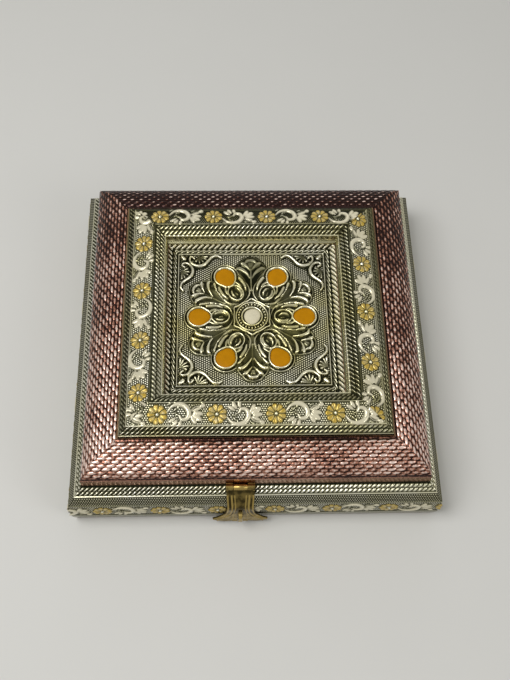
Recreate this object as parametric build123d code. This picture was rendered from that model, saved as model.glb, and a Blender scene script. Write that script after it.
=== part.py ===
from build123d import *

import math
import os

# Dry fruit box: a shallow wooden tray and a hinged, stepped lid, both clad in embossed
# metal foil, with a velvet lining, four compartments and a brass fishtail hasp.
# Millimetres. +Z is up, the front faces -Y, and the origin is under the middle of the felt.

# Tray: outline of one rail, as a distance out from the middle and a height
box_half = 100.0
base_height = 33.5
ledge_inset = 8.5
slope_inset = 4.0
slope_drop = 5.3
belly_drop = 13.5
shoulder_radius = 10.0
foot_inset = 1.2
belly_bow = 0.1
wall_thickness = 14.0
felt_thickness = 1.0
felt_inset = 3.0
base_board_thickness = 3.0
foil = 0.5
foil_hem = 0.4
foil_edge_gap = 0.01
ledge_foil_width = 4.0

# Lining and compartments
lining_thickness = 1.5
lining_top_gap = 1.2
divider_thickness = 5.0
divider_top_gap = 4.0
divider_clearance = 0.1

# Lid: outline of the rose moulding
seam_gap = 0.3
lid_edge_height = 8.0
rose_width = 19.5
rose_rise = 16.8
rose_swell = 3.6
lid_board_thickness = 3.0
lid_lining_thickness = 1.5
lid_lining_inset = 2.5

# Lid: outline of the silver frame and the sunk centre plate
frame_step = 0.4
frame_rope_run = 4.5
frame_rope_rise = 2.8
flower_run = 12.1
crest_height = 25.4
crest_width = 1.5
bevel_run = 4.6
bevel_drop = 9.0
lip_width = 1.0
well_depth = 11.2
plate_thickness = 0.6
plate_clearance = 0.05

# Rope beads on the foil
bead_radius = 1.15
fine_bead_radius = 0.92
bead_sink = 0.25
thick_rope_radius = 1.9
thin_rope_radius = 1.1
rope_spacing = 0.2
rope_sink = 0.3
border_inset = 0.5

# Rosette in the middle of the plate, its plan given in shares of the field's half-width
lobes = 6
rosette_share = 0.95
rosette_height = 2.2
drop_orbit_share = 0.72
drop_length_share = 0.30
drop_width_share = 0.24
drop_point_share = 0.28
drop_cup_wall = 1.2
drop_cup_height = 1.7
drop_cup_floor = 0.4
enamel_recess = 0.5
eye_orbit_share = 0.42
eye_length_share = 0.29
eye_width_share = 0.19
leaf_blades = 3
leaf_fan_angle = 20.0
leaf_root_share = 0.30
leaf_width_share = 0.17
leaf_shortening_share = 0.086
leaf_height = 1.9
boss_share = 0.252
boss_ring_width = 2.2
boss_ring_height = 2.0
boss_height = 2.6
boss_well_floor = 0.6
boss_lip = 1.6
centre_enamel_share = 0.12

# Corner scrolls in the plate
scroll_share = 0.106
scroll_width = 1.5
scroll_spacing_share = 0.34
scroll_height = 1.0
scroll_inset = 2.0

# Butt hinges at the back and the hinge of the hasp at the front
barrel_radius = 1.7
barrel_gap = 0.3
barrel_lift = 1.3
knuckle_gap = 0.2
pin_radius = 0.75
pin_clearance = 0.05
fit_clearance = 0.03
leaf_thickness = 0.8
leaf_root_gap = 0.2
hinge_offset_share = 0.634
hinge_length = 16.0
hinge_middle_knuckle = 6.0
lid_leaf_height = 4.6
base_leaf_width = 6.0
hasp_hinge_length = 15.2
hasp_middle_knuckle = 7.6
latch_leaf_depth = 5.0

# Fishtail hasp, seen from the front
hasp_thickness = 0.9
hasp_stand_off = 1.5
hasp_offset = -8.5
hasp_bottom_z = 3.2
hasp_waist = 14.0
hasp_waist_drop = 2.2
wing_half = 15.0
wing_tip_rise = 3.6
wing_scallop = 1.4
tab_width = 8.4
rib_width = 1.3
rib_height = 0.7
outer_rib_inset = 0.9
inner_rib_inset = 3.2
hasp_bend_radius = 4.0
ray_count = 4
ray_width = 0.7
ray_start = 4.5
ray_length = 6.5
first_ray_angle = -78.0
ray_angle_step = 15.0
slot_width = 2.8
slot_rise = 2.5

# Catch plate and staple behind the hasp
catch_width = 14.0
catch_rise = 2.5
catch_height = 14.5
catch_thickness = 0.7
catch_corner_radius = 2.0
staple_width = 2.0
staple_height = 9.0
staple_reach = 4.8
staple_wall = 1.0
staple_drop = 6.0
staple_root = 2.5
staple_eye_gap = 0.6

reach = 3 * box_half
ledge_half = box_half - ledge_inset
slope_half = box_half - slope_inset
slope_z = base_height - slope_drop
belly_z = base_height - belly_drop
foot_half = box_half - foot_inset
base_inner = box_half - wall_thickness
lid_half = ledge_half
rose_inner = lid_half - rose_width
lid_z = base_height + seam_gap
base_bottom_z = felt_thickness
frame_outer = rose_inner
rose_top_z = lid_z + rose_rise
crest_z = lid_z + crest_height
frame_seat_z = lid_z + lid_board_thickness
frame_top_z = rose_top_z + frame_step
rope_in_half = frame_outer - frame_rope_run
rope_in_z = frame_top_z + frame_rope_rise
crest_half = rope_in_half - flower_run
bevel_half = crest_half - crest_width - bevel_run
bevel_z = crest_z - bevel_drop
well_half = bevel_half - lip_width
plate_z = crest_z - well_depth
axis_y = lid_half + barrel_gap + barrel_radius
axis_z = base_height - foil + barrel_lift

field_half = well_half - border_inset - 2 * (thick_rope_radius + thin_rope_radius + rope_spacing)
rosette_radius = rosette_share * field_half
drop_orbit = drop_orbit_share * field_half
drop_length = drop_length_share * field_half
drop_width = drop_width_share * field_half
eye_orbit = eye_orbit_share * field_half
eye_length = eye_length_share * field_half
eye_width = eye_width_share * field_half
leaf_root = leaf_root_share * field_half
leaf_width = leaf_width_share * field_half
leaf_shortening = leaf_shortening_share * field_half
boss_radius = boss_share * field_half
centre_enamel_radius = centre_enamel_share * field_half
scroll_radius = scroll_share * field_half
scroll_spacing = scroll_spacing_share * field_half

floor_z = felt_thickness + base_board_thickness
divider_height = base_height - divider_top_gap - floor_z - lining_thickness
hinge_offset = hinge_offset_share * lid_half
hasp_waist_z = slope_z - hasp_waist_drop
wing_tip_z = hasp_bottom_z + wing_tip_rise
slot_top_z = belly_z + slot_rise
catch_top_z = belly_z + catch_rise
staple_z = belly_z - staple_drop


def mitred(profile):
    """A rail along the back edge with this outline, cut at 45 degrees at both ends."""
    bar = extrude(Plane.YZ * profile, amount=reach, both=True)
    wedge = make_face(Polyline((0, 0), (reach, reach), (-reach, reach), close=True))
    return bar & extrude(wedge, amount=reach)


def around(rail):
    """The same rail on the four sides of the box."""
    turns = {"back": 0, "left": 90, "front": 180, "right": 270}
    return {side: Rot(0, 0, angle) * rail for side, angle in turns.items()}


def tray_outline():
    """Tray rail: flat ledge, slope under the ropes, rounded belly, foot."""
    walls = Polyline(
        (foot_half, base_bottom_z),
        (base_inner, base_bottom_z),
        (base_inner, base_height),
        (ledge_half, base_height),
        (slope_half, slope_z),
    )
    shoulder = RadiusArc((slope_half, slope_z), (box_half, belly_z), shoulder_radius)
    side = ThreePointArc(
        (box_half, belly_z),
        (box_half - belly_bow, (belly_z + base_bottom_z) / 2),
        (foot_half, base_bottom_z),
    )
    return make_face(Curve() + [walls, shoulder, side])


def rose_outline():
    """Rose moulding: flat bottom, square edge, swelling top."""
    walls = Polyline(
        (rose_inner, rose_top_z),
        (rose_inner, lid_z),
        (lid_half, lid_z),
        (lid_half, lid_z + lid_edge_height),
    )
    middle = (
        (rose_inner + lid_half) / 2 + rose_swell / 3,
        (rose_top_z + lid_z + lid_edge_height) / 2 + rose_swell,
    )
    top = ThreePointArc((lid_half, lid_z + lid_edge_height), middle, (rose_inner, rose_top_z))
    return make_face(Curve() + [walls, top])


def frame_outline():
    """Silver frame: rope slope, flower slope, crest, steep bevel down to the lip of the well."""
    return make_face(
        Polyline(
            (well_half, frame_seat_z),
            (frame_outer, frame_seat_z),
            (frame_outer, frame_top_z),
            (rope_in_half, rope_in_z),
            (crest_half, crest_z),
            (crest_half - crest_width, crest_z),
            (bevel_half, bevel_z),
            (well_half, bevel_z),
            close=True,
        )
    )


def split_skin(outline, window):
    """Parts a rail's outline into its foil, inside the window, and the wood under it."""
    skin = (outline - offset(outline, -foil, kind=Kind.INTERSECTION)) & window
    return skin, outline - skin


def window(low, high):
    """A rectangle from one corner to the other."""
    size = (high[0] - low[0], high[1] - low[1])
    return Pos((low[0] + high[0]) / 2, (low[1] + high[1]) / 2) * Rectangle(*size)


def beads(start, end, count, radius, sink):
    """Round ribs side by side, centred along a slope walked with the open side on its left."""
    run, rise = end[0] - start[0], end[1] - start[1]
    length = math.hypot(run, rise)
    across, up = run / length, rise / length
    pitch = 2 * radius + rope_spacing
    ribs = Sketch()
    for n in range(count):
        along = length / 2 + (n - (count - 1) / 2) * pitch
        centre = (start[0] + across * along + up * sink, start[1] + up * along - across * sink)
        ribs += Pos(*centre) * Circle(radius)
    return ribs


def barrel(length, radius):
    """A cylinder along X, centred on the hinge axis at the back."""
    return Pos(0, axis_y, axis_z) * Rot(0, 90, 0) * Cylinder(radius, length)


def knuckles(length, middle):
    """The middle knuckle and the outer pair, bored for the pin, with room to clear each other."""
    bore = barrel(2 * length, pin_radius + pin_clearance)
    inner_length = middle - knuckle_gap
    outer = barrel(length, barrel_radius) - barrel(middle + knuckle_gap, 2 * barrel_radius)
    inner = barrel(inner_length, barrel_radius)
    inner_room = barrel(middle + knuckle_gap, barrel_radius + barrel_gap)
    outer_room = barrel(3 * length, barrel_radius + barrel_gap) - barrel(inner_length, 3 * barrel_radius)
    return inner - bore, outer - bore, inner_room, outer_room, bore


def slope_plane():
    """The tray's slope at the back, with X along the box and Z out of the wood."""
    run, drop = slope_half - ledge_half, slope_z - base_height
    length = math.hypot(run, drop)
    out = Vector(0, -drop / length, run / length)
    return Plane(origin=(0, ledge_half, base_height), x_dir=(-1, 0, 0), z_dir=out)


def hinge():
    """One butt hinge at the middle of the back edge: tray leaf, lid leaf, pin, and the seat of its leaf."""
    inner, outer, inner_room, outer_room, bore = knuckles(hinge_length, hinge_middle_knuckle)
    slope = slope_plane()
    leaf_middle = Pos(0, -base_leaf_width / 2 - leaf_root_gap, leaf_thickness / 2)
    leaf = leaf_middle * Box(hinge_length, base_leaf_width, leaf_thickness)
    plate_height = barrel_radius + barrel_gap + lid_leaf_height
    plate_middle = Pos(0, lid_half + leaf_thickness / 2, axis_z + plate_height / 2)
    plate = plate_middle * Box(hinge_length, leaf_thickness, plate_height)
    seat = slope * Pos(0, 0, reach / 20) * Box(hinge_length + 2, 4 * base_leaf_width, reach / 10)
    return {
        "tray_leaf": slope * leaf + outer - inner_room - bore,
        "lid_leaf": plate + inner - outer_room - bore,
        "pin": barrel(hinge_length, pin_radius),
        "seat": seat,
    }


def hasp_path():
    """Middle line of the bent hasp plate, from its barrel down over the tray's front."""
    lean = hasp_stand_off + hasp_thickness / 2
    barrel_edge = barrel_radius * math.cos(math.radians(45)) - hasp_thickness / 2
    points = [
        (axis_y + barrel_edge, axis_z - barrel_edge),
        (slope_half + lean, slope_z + lean),
        (box_half + lean, (slope_z + belly_z) / 2),
        (box_half + lean, hasp_bottom_z - hasp_bend_radius),
    ]
    return FilletPolyline(*points, radius=hasp_bend_radius)


def bent_shell(low, high):
    """The hasp's bend as a slab as wide as the box, from one offset of its middle line to another."""
    path = hasp_path()
    band = trace(path, line_width=2 * high)
    if low > 0:
        band -= trace(path, line_width=2 * low)
    return extrude(Plane.YZ * band, amount=2 * wing_half, both=True)


def front_cut(face):
    """A front view drawn as x and z, pushed through the hasp from behind."""
    return extrude(Plane.XZ * face, amount=-reach)


def hasp_edge(inset):
    """Right-hand edge of the hasp, from the barrel down to the wing tip, moved in by inset."""
    top = Vector(hasp_hinge_length / 2 - inset, axis_z)
    waist = Vector(hasp_waist / 2 - inset, hasp_waist_z)
    tip = Vector(wing_half - inset * 1.6, wing_tip_z + inset * 0.6)
    upper = Line(top, waist)
    sweep_down = Bezier(
        waist,
        (waist.X, waist.Y - 9.0),
        (waist.X + 1.5, wing_tip_z + 5.0),
        tip,
    )
    return upper, sweep_down


def hasp_outline():
    """Bell-shaped front view of the hasp: narrow waist, two flared wings, a middle tab."""
    upper, lower = hasp_edge(0)
    tip = lower @ 1
    tip_round = (wing_half - 1.2, hasp_bottom_z + 1.6)
    scallop_end = (tab_width / 2, hasp_bottom_z + wing_scallop * 0.3)
    under_tip = ThreePointArc(tip, (wing_half - 0.2, (wing_tip_z + hasp_bottom_z) / 2 + 1), tip_round)
    scallop = ThreePointArc(tip_round, ((wing_half + tab_width / 2) / 2, hasp_bottom_z - 0.4), scallop_end)
    tab = Polyline(scallop_end, (tab_width / 2, hasp_bottom_z), (0, hasp_bottom_z), (0, axis_z), upper @ 0)
    half = make_face(Curve() + [upper, lower, under_tip, scallop, tab])
    return half + mirror(half, about=Plane.YZ)


def rib_band(inset):
    """One raised line of the hasp, following its edge at a distance."""
    upper, lower = hasp_edge(inset)
    line = Curve() + [upper, lower]
    rib = trace(line, line_width=rib_width)
    return rib + mirror(rib, about=Plane.YZ)


def wing_rays():
    """Fine raised rays that fan out over the wings."""
    rays = Sketch()
    hub = Vector(hasp_waist / 2 - rib_width, wing_tip_z + ray_start + inner_rib_inset)
    for n in range(ray_count):
        angle = math.radians(first_ray_angle + n * ray_angle_step)
        aim = Vector(math.cos(angle), math.sin(angle))
        rays += trace(Line(hub + aim * ray_start, hub + aim * (ray_start + ray_length)), line_width=ray_width)
    return rays + mirror(rays, about=Plane.YZ)


def slot():
    """Front view of the hasp's slot, round at the top and open at the bottom."""
    left, right = -slot_width / 2, slot_width / 2
    shoulder_z = slot_top_z - slot_width / 2
    low = hasp_bottom_z - hasp_bend_radius
    sides = Polyline((left, shoulder_z), (left, low), (right, low), (right, shoulder_z))
    top = ThreePointArc((right, shoulder_z), (0, slot_top_z), (left, shoulder_z))
    return make_face(Curve() + [sides, top])


def hasp_plate():
    """The hasp without its knuckle: a bent plate with raised ribs and rays, and its slot."""
    outline = hasp_outline()
    ribs = (rib_band(outer_rib_inset) + rib_band(inner_rib_inset) + wing_rays()) & outline
    plate = bent_shell(0, hasp_thickness / 2) & front_cut(outline)
    raised = bent_shell(0, hasp_thickness / 2 + rib_height) & front_cut(ribs)
    behind = extrude(Plane.YZ * hasp_inner_side(), amount=2 * wing_half, both=True)
    return plate + (raised - behind) - front_cut(slot())


def latch():
    """The hasp, its leaf on the lid and its pin, made at the back and turned to the front."""
    inner, outer, inner_room, outer_room, bore = knuckles(hasp_hinge_length, hasp_middle_knuckle)
    above_axis = Pos(0, 0, axis_z + reach / 2) * Box(reach, reach, reach)
    hasp = hasp_plate() - above_axis - outer_room + inner - bore
    leaf_low, leaf_high = lid_half - latch_leaf_depth, axis_y
    slab = Pos(0, (leaf_low + leaf_high) / 2, lid_z + leaf_thickness / 2)
    depth = leaf_high - leaf_low
    leaf = slab * Box(hasp_hinge_length, depth, leaf_thickness) + outer - inner_room - bore
    loose = 2 * fit_clearance
    recess = slab * Box(hasp_hinge_length + loose, depth + loose, leaf_thickness)
    barrel_room = barrel(hasp_hinge_length + 2 * barrel_gap, barrel_radius + barrel_gap)
    turn = Pos(hasp_offset, 0, 0) * Rot(0, 0, 180)
    return {
        "hasp": turn * hasp,
        "leaf": turn * leaf,
        "pin": turn * barrel(hasp_hinge_length, pin_radius),
        "recess": turn * (recess + barrel_room),
        "barrel_room": turn * barrel_room,
    }


def hasp_inner_side():
    """Everything on the tray's side of the hasp's middle line."""
    path = hasp_path()
    start, end = path @ 0, path @ 1
    back = Polyline(end, (base_inner, end.Y), (base_inner, start.Y), start)
    return make_face(Curve() + [path, back])


def staple_bar(low, high, width, height, radius):
    """A bar out of the tray's front, at the staple's height, with a rounded nose."""
    bar = Pos(0, (low + high) / 2, staple_z) * Box(width, high - low, height)
    nose = bar.edges().filter_by(Axis.X).group_by(Axis.Y)[-1]
    return fillet(nose, radius)


def catch_skin():
    """A skin as thick as the catch plate on the tray's outside, as wide as the plate."""
    rail = tray_outline()
    skin = offset(rail, catch_thickness, kind=Kind.INTERSECTION) - rail
    outer_side = Pos(0, slope_half + reach / 2, 0) * Box(reach, reach, reach)
    return extrude(Plane.YZ * skin, amount=catch_width, both=True) & outer_side


def catch():
    """The catch plate and its folded staple on the tray's front."""
    front_view = Rectangle(catch_width, catch_height)
    front_view = Pos(0, catch_top_z - catch_height / 2) * fillet(front_view.vertices(), catch_corner_radius)
    plate = catch_skin() & front_cut(front_view)
    root, nose = box_half - staple_root, box_half + catch_thickness + staple_reach
    eye_root = box_half + catch_thickness + staple_eye_gap
    eye_height = staple_height - 2 * staple_wall
    staple = staple_bar(root, nose, staple_width, staple_height, 2 * staple_wall)
    staple -= staple_bar(eye_root, nose - staple_wall, 2 * staple_width, eye_height, staple_wall)
    loose = 2 * fit_clearance
    socket = Pos(0, (root + nose) / 2, staple_z) * Box(
        staple_width + loose, nose - root + loose, staple_height + loose
    )
    turn = Pos(hasp_offset, 0, 0) * Rot(0, 0, 180)
    return {"plate": turn * (plate - socket), "staple": turn * staple, "socket": turn * socket}


def drop_shape(length, width):
    """A pear outline that points inward, centred on the origin, round end outward along X."""
    round_radius = width / 2
    big = Pos(length / 2 - round_radius, 0) * Circle(round_radius)
    small_radius = width * drop_point_share
    small = Pos(-length / 2 + small_radius, 0) * Circle(small_radius)
    return make_hull((big + small).edges())


def almond(length, width):
    """A leaf outline of two arcs, with its points along X."""
    bow = width / 2
    return make_face(
        Curve()
        + [
            ThreePointArc((-length / 2, 0), (0, -bow), (length / 2, 0)),
            ThreePointArc((length / 2, 0), (0, bow), (-length / 2, 0)),
        ]
    )


def palmette():
    """One leaf of the rosette along X: blades that fan out from a point, the middle one the longest."""
    leaf = Sketch()
    fan_root = leaf_root / 2
    for n in range(leaf_blades):
        step = n - (leaf_blades - 1) / 2
        length = rosette_radius - leaf_root - abs(step) * leaf_shortening
        blade = Pos(leaf_root + length / 2, 0) * almond(length, leaf_width)
        leaf += Pos(fan_root, 0) * Rot(0, 0, step * leaf_fan_angle) * Pos(-fan_root, 0) * blade
    return extrude(leaf, amount=leaf_height)


def drop_lobe():
    """The cup of one enamel drop along X, with the eye between it and the middle."""
    outer = drop_shape(drop_length + 2 * drop_cup_wall, drop_width + 2 * drop_cup_wall)
    inner = drop_shape(drop_length, drop_width)
    cup = Pos(drop_orbit, 0) * extrude(outer, amount=drop_cup_height)
    hollow = Pos(drop_orbit, 0, drop_cup_floor) * extrude(inner, amount=drop_cup_height)
    eye = Pos(eye_orbit, 0) * extrude(almond(eye_length, eye_width), amount=rosette_height)
    return cup, hollow, eye


def boss():
    """The round boss in the middle, with a ring round the centre enamel."""
    ring = Circle(boss_radius) - Circle(boss_radius - boss_ring_width)
    foot = (Align.CENTER, Align.CENTER, Align.MIN)
    hub = Cylinder(centre_enamel_radius + boss_lip, boss_height, align=foot)
    well = Pos(0, 0, boss_well_floor) * Cylinder(centre_enamel_radius, boss_height, align=foot)
    return extrude(ring, amount=boss_ring_height) + hub, well


def scrolls():
    """Two open C-scrolls in one corner of the field."""
    near = field_half - scroll_inset - scroll_radius
    far = field_half - scroll_spacing
    pieces = []
    for x, y in ((near, far), (far, near)):
        facing = math.degrees(math.atan2(-y, -x))
        ring = Circle(scroll_radius) - Circle(scroll_radius - scroll_width)
        mouth = Rot(0, 0, facing) * Pos(scroll_radius, 0) * Rectangle(scroll_radius, scroll_radius)
        pieces.append(extrude(Pos(x, y) * (ring - mouth), amount=scroll_height))
    return pieces


def rope_loop(half, radius):
    """A square loop of round rib, half sunk in the plate, its outside at this half width."""
    centre = half - radius
    section = Pos(centre, plate_z - rope_sink) * Circle(radius)
    above = Pos(0, 0, plate_z + reach / 2 - plate_thickness / 2) * Box(reach, reach, reach)
    rails = around(mitred(section) & above)
    return list(rails.values())


def centre_plate():
    """The embossed sheet in the well of the frame, and the enamel it holds."""
    half = well_half - plate_clearance
    sheet = Pos(0, 0, plate_z - plate_thickness / 2) * Box(2 * half, 2 * half, plate_thickness)
    thin_half = well_half - border_inset - 2 * thick_rope_radius - rope_spacing
    ropes = rope_loop(well_half - border_inset, thick_rope_radius) + rope_loop(thin_half, thin_rope_radius)
    relief, hollows, drops = [], [], []
    cup, hollow, eye = drop_lobe()
    leaf = palmette()
    enamel_height = drop_cup_height - drop_cup_floor - enamel_recess
    drop = extrude(drop_shape(drop_length, drop_width), amount=enamel_height)
    drop = Pos(drop_orbit, 0, drop_cup_floor) * drop
    for n in range(lobes):
        turn = Pos(0, 0, plate_z) * Rot(0, 0, n * 360 / lobes)
        leaf_turn = Pos(0, 0, plate_z) * Rot(0, 0, (n + 0.5) * 360 / lobes)
        relief += [turn * cup, turn * eye, leaf_turn * leaf]
        hollows.append(turn * hollow)
        drops.append(turn * drop)
    middle, well = boss()
    relief.append(Pos(0, 0, plate_z) * middle)
    hollows.append(Pos(0, 0, plate_z) * well)
    for n in range(4):
        relief += [Pos(0, 0, plate_z) * Rot(0, 0, 90 * n) * one for one in scrolls()]
    plate = sheet
    for one in ropes + relief:
        plate = plate + one
    for one in hollows:
        plate = plate - one
    centre_height = boss_height - boss_well_floor - enamel_recess
    centre = extrude(Circle(centre_enamel_radius), amount=centre_height)
    centre = Pos(0, 0, plate_z + boss_well_floor) * centre
    return plate, Compound(drops), centre


def board(half, low, thickness):
    """A square board."""
    return Pos(0, 0, low + thickness / 2) * Box(2 * half, 2 * half, thickness)


def divider(notch_from_top):
    """One of the two crossing partitions, with its half-lap notch."""
    low = floor_z + lining_thickness
    length = 2 * (base_inner - lining_thickness - divider_clearance)
    strip = Pos(0, 0, low + divider_height / 2) * Box(length, divider_thickness, divider_height)
    notch_z = low + divider_height * (0.75 if notch_from_top else 0.25)
    notch_height = divider_height / 2 + divider_clearance
    shift = -divider_clearance / 2 if notch_from_top else divider_clearance / 2
    room = Pos(0, 0, notch_z + shift) * Box(
        divider_thickness + 2 * divider_clearance, 2 * divider_thickness, notch_height
    )
    return strip - room


def build():
    """Every node of the box by name."""
    parts = {}
    tray_skin, tray_wood = split_skin(
        tray_outline(),
        window((ledge_half - ledge_foil_width, base_bottom_z + foil_hem), (reach, reach)),
    )
    tray_skin += beads(
        (ledge_half, base_height), (slope_half, slope_z), 2, bead_radius, bead_radius * bead_sink
    ) - tray_outline()
    rose_skin, rose_wood = split_skin(
        rose_outline(), window((rose_inner + foil, lid_z + foil_hem), (reach, reach))
    )
    frame_skin, frame_wood = split_skin(
        frame_outline(),
        window((well_half + foil_edge_gap, plate_z), (frame_outer - foil_edge_gap, reach)),
    )
    frame_ropes = beads(
        (rope_in_half, rope_in_z), (frame_outer, frame_top_z), 2, bead_radius, bead_radius * bead_sink
    )
    bevel_top = (crest_half - crest_width, crest_z)
    bevel_middle = (
        (bevel_top[0] + bevel_half) / 2,
        (bevel_top[1] + bevel_z) / 2,
    )
    frame_ropes += beads(bevel_middle, bevel_top, 2, fine_bead_radius, fine_bead_radius * bead_sink)
    frame_skin += (frame_ropes - frame_outline()) & window((0, 0), (frame_outer, reach))

    latch_parts = latch()
    catch_parts = catch()
    hinges = {
        side: {name: Pos(x, 0, 0) * piece for name, piece in hinge().items()}
        for side, x in (("left", -hinge_offset), ("right", hinge_offset))
    }
    seats = [one["seat"] for one in hinges.values()]

    plain_rail = mitred(tray_outline())
    for side, rail in around(mitred(tray_wood)).items():
        parts[f"base_rail_{side}"] = rail - catch_parts["socket"]
    for side, skin in around(mitred(tray_skin)).items():
        if side == "back":
            skin = skin - [seat - plain_rail for seat in seats]
        if side == "front":
            skin = skin - latch_parts["barrel_room"] - catch_parts["socket"]
        parts[f"base_cladding_{side}"] = skin
    for side, rail in around(mitred(rose_wood)).items():
        parts[f"lid_rail_{side}"] = rail - latch_parts["recess"]
    for side, skin in around(mitred(rose_skin)).items():
        parts[f"rose_cladding_{side}"] = skin - latch_parts["recess"]
    for side, rail in around(mitred(frame_wood)).items():
        parts[f"frame_rail_{side}"] = rail
    for side, skin in around(mitred(frame_skin)).items():
        parts[f"frame_cladding_{side}"] = skin

    parts["base_felt"] = board(foot_half - felt_inset, 0, felt_thickness)
    parts["base_board"] = board(base_inner, base_bottom_z, base_board_thickness)
    parts["lining_floor"] = board(base_inner, floor_z, lining_thickness)
    wall_low, wall_high = floor_z + lining_thickness, base_height - lining_top_gap
    wall = window((base_inner - lining_thickness, wall_low), (base_inner, wall_high))
    for side, strip in around(mitred(wall)).items():
        parts[f"lining_{side}"] = strip
    parts["divider_long"] = divider(True)
    parts["divider_cross"] = Rot(0, 0, 90) * divider(False)

    parts["lid_board"] = board(rose_inner, lid_z, lid_board_thickness)
    lining_half = base_inner - lining_thickness - lid_lining_inset
    parts["lid_lining"] = board(lining_half, lid_z - lid_lining_thickness, lid_lining_thickness)
    core_height = plate_z - plate_thickness - frame_seat_z
    parts["centre_core"] = board(well_half, frame_seat_z, core_height)
    plate, drops, centre = centre_plate()
    parts["centre_plate"] = plate
    parts["petal_enamel"] = drops
    parts["centre_enamel"] = centre

    for side, one in hinges.items():
        parts[f"hinge_tray_leaf_{side}"] = one["tray_leaf"]
        parts[f"hinge_lid_leaf_{side}"] = one["lid_leaf"]
        parts[f"hinge_pin_{side}"] = one["pin"]
    parts["latch_leaf"] = latch_parts["leaf"]
    parts["latch_pin"] = latch_parts["pin"]
    parts["hasp"] = latch_parts["hasp"]
    parts["catch_plate"] = catch_parts["plate"]
    parts["catch_staple"] = catch_parts["staple"]
    return parts


def write(parts):
    """One STEP file for each node."""
    os.makedirs("parts", exist_ok=True)
    for name, shape in parts.items():
        export_step(shape, f"parts/{name}.step")


if __name__ == "__main__":
    write(build())
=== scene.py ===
import math

import bpy
import numpy as np
from bpy.props import FloatProperty, FloatVectorProperty, IntProperty
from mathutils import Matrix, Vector


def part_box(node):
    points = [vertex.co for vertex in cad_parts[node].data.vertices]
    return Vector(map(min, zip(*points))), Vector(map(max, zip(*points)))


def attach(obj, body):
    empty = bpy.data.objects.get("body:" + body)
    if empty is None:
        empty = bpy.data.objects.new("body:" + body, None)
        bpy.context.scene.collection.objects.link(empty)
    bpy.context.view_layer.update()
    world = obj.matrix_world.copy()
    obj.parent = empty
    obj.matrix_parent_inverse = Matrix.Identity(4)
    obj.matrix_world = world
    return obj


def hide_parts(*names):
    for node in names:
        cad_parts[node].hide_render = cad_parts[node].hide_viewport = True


bl_info = {
    "name": "Dry Fruit Box",
    "version": (1, 0, 0),
    "blender": (4, 5, 0),
    "location": "3D View > Sidebar > Box",
    "description": "Dresses the packed dry fruit box in embossed foil, enamel, brass and velvet",
    "category": "Object",
}

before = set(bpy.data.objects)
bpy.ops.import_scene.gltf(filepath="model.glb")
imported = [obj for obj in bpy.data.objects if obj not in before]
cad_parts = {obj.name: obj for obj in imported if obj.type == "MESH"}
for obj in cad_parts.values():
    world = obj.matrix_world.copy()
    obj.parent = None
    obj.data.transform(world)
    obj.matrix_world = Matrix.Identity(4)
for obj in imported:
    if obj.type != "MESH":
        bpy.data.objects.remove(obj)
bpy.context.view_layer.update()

# Lengths in this script are millimetres, and MM turns them into metres for Blender.
MM = 0.001
SIDES = {"back": 0, "left": 90, "front": 180, "right": 270}

# Foil: its ground lies this far under the outline, and full relief stands this far above the ground.
FOIL_SINK = 0.3
FULL_RELIEF = 0.95

# Centre sheet: the rosette and the rope borders sit a little off centre. The field ends at the inner border.
# The levels of its ground and of the enamel's edge are heights above the core.
SHEET_STEP = 0.32
SHEET_HALF = 49.6
SHEET_LEVEL = 0.35
ENAMEL_LEVEL = 0.9
FIELD_HALF = 41.2
BORDERS_X = -0.5
ROSETTE = (-0.9, 0.4)

# Enamel drops: two circles, (distance from the rosette's middle, radius), with straight sides between them.
DROP_INNER = (27.2, 4.0)
DROP_OUTER = (29.8, 5.5)
DROP_MIDDLE = 29.5

# Hasp: its middle, half its width at the top and at the wing tips, and half the slot's.
# Its path is (distance out, height) from the hinge to the wings.
HASP_X = -8.5
HASP_HALF = 7.0
WING_HALF = 15.0
SLOT_HALF = 1.4
HASP_PATH = (
    (94.3, 33.6), (96.2, 31.8), (97.6, 30.4), (98.7, 29.0), (100.4, 26.6), (101.3, 25.1), (101.8, 23.4),
    (101.95, 21.6), (101.95, 2.0),
)
HASP_AXIS = (-93.5, 34.3)

# Camera, fitted to the corners of the box in the photograph.
CAMERA_PLACE = (-0.0162, -0.2404, 0.4892)
CAMERA_TURN = (27.2, -1.51, -1.28)


def linear(code):
    """An sRGB hex colour as linear red, green and blue."""
    channels = [int(code[n : n + 2], 16) / 255 for n in (1, 3, 5)]
    return [c / 12.92 if c <= 0.04045 else ((c + 0.055) / 1.055) ** 2.4 for c in channels]


def colour(name, code, description):
    """A colour property with this sRGB default."""
    return FloatVectorProperty(
        name=name, description=description, subtype="COLOR", size=3, min=0, max=1, default=linear(code)
    )


def length(name, millimetres, description):
    """A size property, in metres, with its default given in millimetres."""
    return FloatProperty(
        name=name, description=description, default=millimetres * MM, min=0, unit="LENGTH", precision=5
    )


class BoxReliefSettings(bpy.types.PropertyGroup):
    """Sizes of the embossing."""

    rope_pitch: length("Rope pitch", 2.57, "Length of one twist in the rope borders")
    thick_rope_pitch: length("Thick rope pitch", 3.18, "Length of one twist in the rope round the centre sheet")
    flower_pitch: length("Flower pitch", 30.8, "Distance between flowers along the border")
    grain_length: length("Grain length", 5.0, "Length of one grain on the rose foil")
    grain_row: length("Grain row", 1.95, "Distance between rows of grains")
    grain_height: length("Grain height", 0.55, "How far a grain stands out")
    mesh_pitch: length("Mesh pitch", 1.27, "Distance between dots of the ground")
    step: length("Step", 0.36, "Distance between points of the embossed strips")


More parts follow.
